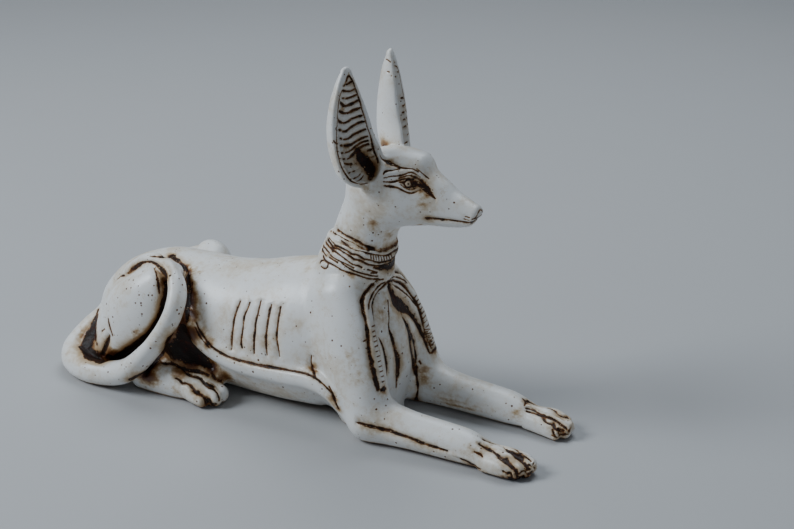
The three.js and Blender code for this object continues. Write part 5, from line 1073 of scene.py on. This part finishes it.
def refine(mesh, wanted, longest):
    # splits the edges that join two wanted points and are longer than longest, and triangulates what is left
    shape = bmesh.new()
    shape.from_mesh(mesh)
    edges = [e for e in shape.edges
             if wanted[e.verts[0].index] and wanted[e.verts[1].index] and e.calc_length() > longest]
    bmesh.ops.subdivide_edges(shape, edges=edges, cuts=1, use_grid_fill=True, use_single_edge=True)
    bmesh.ops.triangulate(shape, faces=shape.faces)
    dropFlaps(shape)
    shape.to_mesh(mesh)
    shape.free()


def addValues(mesh, name, values):
    # one number for each point, which a material reads by this name
    layer = mesh.attributes.new(name, "FLOAT", "POINT")
    layer.data.foreach_set("value", np.asarray(values, np.float32))


def drawForm():
    # the skin as a net over the ground, thinned where it is plain and split finer beside the painted lines
    print("form: drawing the skin")
    step = form["step"]
    skin, quads = drawSkin(lambda p: np.maximum(formField(p), -p[:, 2]), form["low"], form["high"], step)
    skin = settle(skin, 1)
    keep = paintAndCut(skin)[0] > -form["keepNear"]
    print("form:", len(skin), "points", len(quads), "faces", keep.sum(), "kept")
    piece = bpy.data.objects.new("jackal", makeMesh("jackal", skin, quads))
    bpy.context.scene.collection.objects.link(piece)
    mesh = thinned(piece, form["firstTriangles"], keep)
    print("form: thinned to", len(mesh.polygons), "faces")
    points = readPoints(mesh)
    paint = paintAndCut(points)[0]
    shown = (points[:, 1] < form["farSide"][0]) | (points[:, 0] > form["farSide"][1])
    refine(mesh, shown & (paint > -form["refineNear"]) & (paint < form["refineInside"]), form["refineEdge"])
    gap = np.linalg.norm(folded(readPoints(mesh)) - eye["centre"], axis=1)
    refine(mesh, gap < eye["refineOut"] * eye["radius"], form["refineEdge"] / 2)
    print("form: refined to", len(mesh.polygons), "faces")
    piece.data = mesh
    return piece


def carve(mesh):
    # every point moves out along its normal by the wave and the raised bands, less the cuts, and is marked
    skin = settle(readPoints(mesh), 2)
    outward = slope(formField, skin)
    paint, cut, stain = paintAndCut(skin)
    height = (waved(skin) + raised(skin, paint) - cut) * rise(skin[:, 2], *finish["flatUnder"])
    placed = skin + outward * height[:, None]
    placed[:, 2] = np.maximum(placed[:, 2], 0)
    mesh.vertices.foreach_set("co", ((placed + form["toPlace"]) / 1000).astype(np.float32).ravel())
    addValues(mesh, "paintDepth", paint)
    addValues(mesh, "stain", stain)
    # the smudge values hold brown smudges and some painted shade
    addValues(mesh, "smudgeAndShade", smudgesAndShade(skin))
    # the hollow values hold the brown wash in the hollows and painted shade near the floor
    addValues(mesh, "hollow", hollowAndFloorShade(skin, outward))
    mesh.update()
    mesh.shade_smooth()
    print("form: carved and marked")


jackal = drawForm()
carve(jackal.data)


class Shader:
    # short ways to add nodes to a material; a value is a number, a colour or another node's output
    def __init__(self, name):
        self.material = bpy.data.materials.new(name)
        self.material.use_nodes = True
        self.tree = self.material.node_tree
        self.principled = self.tree.nodes["Principled BSDF"]
        self.place = self.tree.nodes.new("ShaderNodeTexCoord").outputs["Object"]

    def put(self, socket, value):
        # links an output to a socket, or sets the socket's own value
        if isinstance(value, bpy.types.NodeSocket):
            self.tree.links.new(value, socket)
        elif isinstance(value, tuple) and socket.type == "RGBA":
            socket.default_value = (*value, 1)
        else:
            socket.default_value = value

    def finish(self, name, value):
        # the same for a socket of the Principled shader
        self.put(self.principled.inputs[name], value)

    def math(self, operation, a, b):
        # one sum of Blender's Math node
        node = self.tree.nodes.new("ShaderNodeMath")
        node.operation = operation
        self.put(node.inputs[0], a)
        self.put(node.inputs[1], b)
        return node.outputs[0]

    def add(self, *parts):
        # the sum of all parts; a pair is a value and the share of it that counts
        parts = [self.times(*part) if isinstance(part, tuple) else part for part in parts]
        total = parts[0]
        for part in parts[1:]:
            total = self.math("ADD", total, part)
        return total

    def times(self, a, b):
        # the product
        return self.math("MULTIPLY", a, b)

    def less(self, value):
        # one less the value
        return self.math("SUBTRACT", 1, value)

    def rise(self, value, low, high, top=1.0):
        # 0 below low and top above high, with an eased step between; low may be the greater
        node = self.tree.nodes.new("ShaderNodeMapRange")
        node.interpolation_type = "SMOOTHSTEP"
        for socket, part in zip(("Value", "From Min", "From Max", "To Max"), (value, low, high, top)):
            self.put(node.inputs[socket], part)
        return node.outputs[0]

    def mix(self, share, a, b, blendType="MIX"):
        # from colour a to colour b as share goes from 0 to 1
        node = self.tree.nodes.new("ShaderNodeMix")
        node.data_type, node.blend_type = "RGBA", blendType
        for socket, part in zip((0, 6, 7), (share, a, b)):
            self.put(node.inputs[socket], part)
        return node.outputs[2]

    def filtered(self, colour, passed, layers):
        # the colour times the share that one layer lets through, to the power of the number of layers
        join = self.tree.nodes.new("ShaderNodeCombineColor")
        for socket, share in zip(join.inputs, passed):
            self.put(socket, self.math("POWER", share, layers))
        return self.mix(1.0, colour, join.outputs[0], "MULTIPLY")

    def moved(self, seed, stretch=(1, 1, 1)):
        # the place on the piece, stretched and shifted
        mapping = self.tree.nodes.new("ShaderNodeMapping")
        self.put(mapping.inputs["Vector"], self.place)
        self.put(mapping.inputs["Scale"], stretch)
        self.put(mapping.inputs["Location"], (seed, seed, seed))
        return mapping.outputs[0]

    def noise(self, size, detail, rough, seed, stretch=(1, 1, 1)):
        # cloudy noise about 0, at most some 0.5 either way, whose blots are about size millimetres across
        node = self.tree.nodes.new("ShaderNodeTexNoise")
        self.put(node.inputs["Vector"], self.moved(seed, stretch))
        for socket, part in zip(("Scale", "Detail", "Roughness"), (1000 / size, detail, rough)):
            self.put(node.inputs[socket], part)
        return self.math("SUBTRACT", node.outputs["Fac"], 0.5)

    def cells(self, size, seed):
        # the gap in millimetres to the nearest of scattered dots, and two random numbers for each dot
        node = self.tree.nodes.new("ShaderNodeTexVoronoi")
        self.put(node.inputs["Vector"], self.moved(seed))
        self.put(node.inputs["Scale"], 1000 / size)
        split = self.tree.nodes.new("ShaderNodeSeparateColor")
        self.put(split.inputs[0], node.outputs["Color"])
        return self.times(node.outputs["Distance"], size), split.outputs[0], split.outputs[1]

    def values(self, name):
        # the numbers that the mesh holds under this name
        node = self.tree.nodes.new("ShaderNodeAttribute")
        node.attribute_name = name
        return node.outputs["Fac"]

    def bump(self, height, distance, under=None):
        # distance is how many metres one unit of height stands for
        node = self.tree.nodes.new("ShaderNodeBump")
        self.put(node.inputs["Height"], height)
        self.put(node.inputs["Distance"], distance)
        if under is not None:
            self.put(node.inputs["Normal"], under)
        return node.outputs[0]


look = {
    "ivory": (0.80, 0.795, 0.775),
    "warmIvory": (0.75, 0.72, 0.66),
    "passed": (0.40, 0.235, 0.11),  # what one layer of the brown wash lets through
    "ink": (0.011, 0.006, 0.003),
    "inkShare": 0.86,
    # how many layers of wash lie there
    "lineLayers": 1.9,
    "dustLayers": 0.2,
    "poolLayers": 1.5,
    "stainLayers": 1.25,
    "smudgeLayers": 1.8,
    # the hollow layers are the wash in the hollows and painted shade near the floor
    "hollowLayers": 1.3,
    "pinholeLayers": 2.2,
    # noises: size of the blots in millimetres, detail, roughness, seed and stretch
    "clouds": (22, 3, 0.55, 3),
    "patchy": (6.5, 4, 0.6, 8),
    "blots": (3.2, 4, 0.62, 1),
    "streaks": (2.2, 3, 0.65, 5, (1, 1, 2.6)),
    "specks": (0.8, 2, 0.6, 2),
    # how far the noise moves the edge of the paint, in millimetres, and how much more in a stain
    "ragged": (0.27, 1.17),
    "patchiness": 3.6,
    "rim": (-0.1, 0.16, 0.9),  # where the paint begins and is full, and how much wider that is in a stain
    # the values between which each effect comes in, and its most where that is not 1
    "poolRise": (0.3, 1.2),
    "poolMost": 0.9,
    "fleckRise": (0.08, 0.18),
    "flecksFrom": (0.3, 0.9, 0.85),
    "flecksTo": (1.2, 2.4, 0.8),
    "dustRise": (-0.05, 0.35),
    "fineDustRise": (0.08, 0.35),
    "sunkRise": (0.1, 0.5),
    "stainRise": (-0.3, 0.35),
    "smudgeRise": (-0.1, 0.45),
    "hollowRise": (0.5, 1.0),
    "warmRise": (-0.15, 0.2),
    "inkRise": (0.05, 0.9),
    "inkMost": 0.6,
    "pinholeRise": (-0.06, 0.1),
    "pinholes": [(2.6, 0.22, 0.44, 1.3), (6.5, 0.35, 0.75, 4.1)],  # spacing, share, radius, seed
    "roughness": 0.36,
    "specular": 0.5,
    "skinDepth": 0.00035,  # in metres, as is the next
    "paintStep": 0.0003,
}


def washedIvory():
    # the wash is a brown film; its thickness is counted in layers, and each lets through the same share of
    # the light
    s = Shader("washedIvory")
    depth, stain, smudgeAndShade, hollow = (s.values(name) for name in ("paintDepth", "stain", "smudgeAndShade", "hollow"))
    clouds, patchy, blots, streaks, specks = (
        s.noise(*look[name]) for name in ("clouds", "patchy", "blots", "streaks", "specks"))
    uneven = s.add(blots, (specks, 0.6), (streaks, 0.5))
    ragged = s.add(look["ragged"][0], (stain, look["ragged"][1]))
    edge = s.add(depth, (uneven, ragged), (s.times(patchy, stain), look["patchiness"]))

    start, full, wider = look["rim"]
    line = s.rise(edge, start, s.add(full, (stain, wider)))
    # wide lines pool dark; the pools in the gap between the tail and the belly are painted shade
    pool = s.rise(s.add(s.math("MINIMUM", edge, look["poolMost"]), (streaks, 1.4), blots), *look["poolRise"])
    # sunk and deep read the hollow values: brown wash in the hollows of the form, and painted shade near the
    # floor
    sunk = s.rise(hollow, *look["sunkRise"])
    cloudy = s.rise(s.add(blots, (stain, 0.35)), *look["stainRise"])
    soft = s.times(s.times(stain, s.add(0.45, (sunk, 0.55))), cloudy)
    # the smudges; those in the gap between the tail and the belly, and the foot's shadow, are painted shade
    dabs = s.times(smudgeAndShade, s.rise(s.add(blots, (smudgeAndShade, 0.5)), *look["smudgeRise"]))
    deep = s.rise(s.add(hollow, (blots, 0.5), (clouds, 0.3)), *look["hollowRise"])
    dust = s.add(s.rise(s.add(clouds, (blots, 0.8)), *look["dustRise"]),
                 s.rise(s.add(patchy, (specks, 0.7)), *look["fineDustRise"]))
    film = s.add((line, look["lineLayers"]), (pool, look["poolLayers"]), (soft, look["stainLayers"]),
                 (dabs, look["smudgeLayers"]), (deep, look["hollowLayers"]), (dust, look["dustLayers"]))
    nearRim = s.times(s.rise(depth, *look["flecksFrom"]), s.less(s.rise(depth, *look["flecksTo"])))
    flecks = s.times(s.rise(s.add(streaks, (specks, 0.5)), *look["fleckRise"]), nearRim)
    film = s.times(film, s.less(flecks))

    holes = 0.0
    for size, share, radius, seed in look["pinholes"]:
        gap, pick, reach = s.cells(size, seed)
        radiusHere = s.add((reach, 0.6 * radius), 0.4 * radius)
        hole = s.rise(s.math("SUBTRACT", radiusHere, gap), *look["pinholeRise"])
        holes = s.math("MAXIMUM", holes, s.times(hole, s.math("LESS_THAN", pick, share)))
    film = s.math("MAXIMUM", film, s.times(holes, look["pinholeLayers"]))
    ground = s.mix(s.rise(clouds, *look["warmRise"]), look["ivory"], look["warmIvory"])
    patches = s.add(s.math("MINIMUM", edge, look["inkMost"]), (streaks, 1.5), (blots, 1.8), (patchy, 1.2))
    inked = s.times(s.rise(patches, *look["inkRise"], look["inkShare"]), s.less(flecks))
    s.finish("Base Color", s.mix(inked, s.filtered(ground, look["passed"], film), look["ink"]))

    dirt = s.math("MAXIMUM", s.rise(edge, start, full), holes)
    s.finish("Roughness", s.add(look["roughness"], (clouds, 0.15), (specks, 0.1), (dirt, 0.06)))
    s.finish("Specular IOR Level", s.math("SUBTRACT", look["specular"], s.times(dirt, 0.3)))
    skin = s.bump(s.add((specks, 0.08), (blots, 0.3), (s.times(streaks, dirt), 1.2)), look["skinDepth"])
    s.finish("Normal", s.bump(s.times(dirt, -1.0), look["paintStep"], skin))
    return s.material


jackal.data.materials.clear()
jackal.data.materials.append(washedIvory())
print("paint: one material")

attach(jackal, "root")
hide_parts("jackal_figure")

studio = {
    "floorHalf": 4.0,
    "floorColour": (0.44, 0.44, 0.44),
    "floorPale": (0.5, 0.5, 0.5),
    "floorPaleShare": 0.06,
    "floorRoughness": 0.8,
    "floorNoise": (60, 2, 0.5, 7),
    "ambient": 0.13,
    "ambientColour": (0.8, 0.88, 1.0, 1),
    # where each lamp stands, its width, its power and its colour
    "lamps": {
        "keyLamp": ((-1.25, -0.95, 1.3), 0.8, 34, (0.84, 0.92, 1.0)),
        "topLamp": ((-0.1, 0.7, 1.5), 1.0, 14, (0.82, 0.91, 1.0)),
        "fillLamp": ((1.5, -0.9, 0.7), 1.0, 2.5, (0.75, 0.87, 1.0)),
    },
    "aim": (0.0, 0.0, 0.08),
    "cameraPlace": (0.4608, -0.7072, 0.4172),
    "cameraAim": (0.0616, 0.0055, 0.0971),
    "lens": 70,
    "sensor": 36,
}


def aimed(data, name, place, target):
    # a lamp or camera that stands at place and looks at target
    thing = bpy.data.objects.new(name, data)
    thing.location = place
    thing.rotation_euler = (Vector(target) - Vector(place)).to_track_quat("-Z", "Y").to_euler()
    bpy.context.scene.collection.objects.link(thing)
    return thing


def plainFloor():
    # one flat square, faintly mottled
    corners = studio["floorHalf"] * np.array([(-1, -1, 0), (1, -1, 0), (1, 1, 0), (-1, 1, 0)], float)
    floor = bpy.data.objects.new("floor", makeMesh("floor", corners, np.array([[0, 1, 2, 3]])))
    bpy.context.scene.collection.objects.link(floor)
    s = Shader("palePaper")
    pale = s.rise(s.noise(*studio["floorNoise"]), -0.3, 0.3, studio["floorPaleShare"])
    s.finish("Base Color", s.mix(pale, studio["floorColour"], studio["floorPale"]))
    s.finish("Roughness", studio["floorRoughness"])
    floor.data.materials.append(s.material)


def light():
    # soft square lamps and an even dim sky
    for name, (place, width, power, colour) in studio["lamps"].items():
        lamp = bpy.data.lights.new(name, "AREA")
        lamp.size, lamp.energy, lamp.color = width, power, colour
        aimed(lamp, name, place, studio["aim"])
    world = bpy.data.worlds.new("studio")
    world.use_nodes = True
    sky = world.node_tree.nodes["Background"].inputs
    sky["Color"].default_value = studio["ambientColour"]
    sky["Strength"].default_value = studio["ambient"]
    bpy.context.scene.world = world


plainFloor()
light()
cameraData = bpy.data.cameras.new("camera")
cameraData.lens, cameraData.sensor_width = studio["lens"], studio["sensor"]
bpy.context.scene.camera = aimed(cameraData, "camera", studio["cameraPlace"], studio["cameraAim"])
print("stage: floor, lamps and camera")
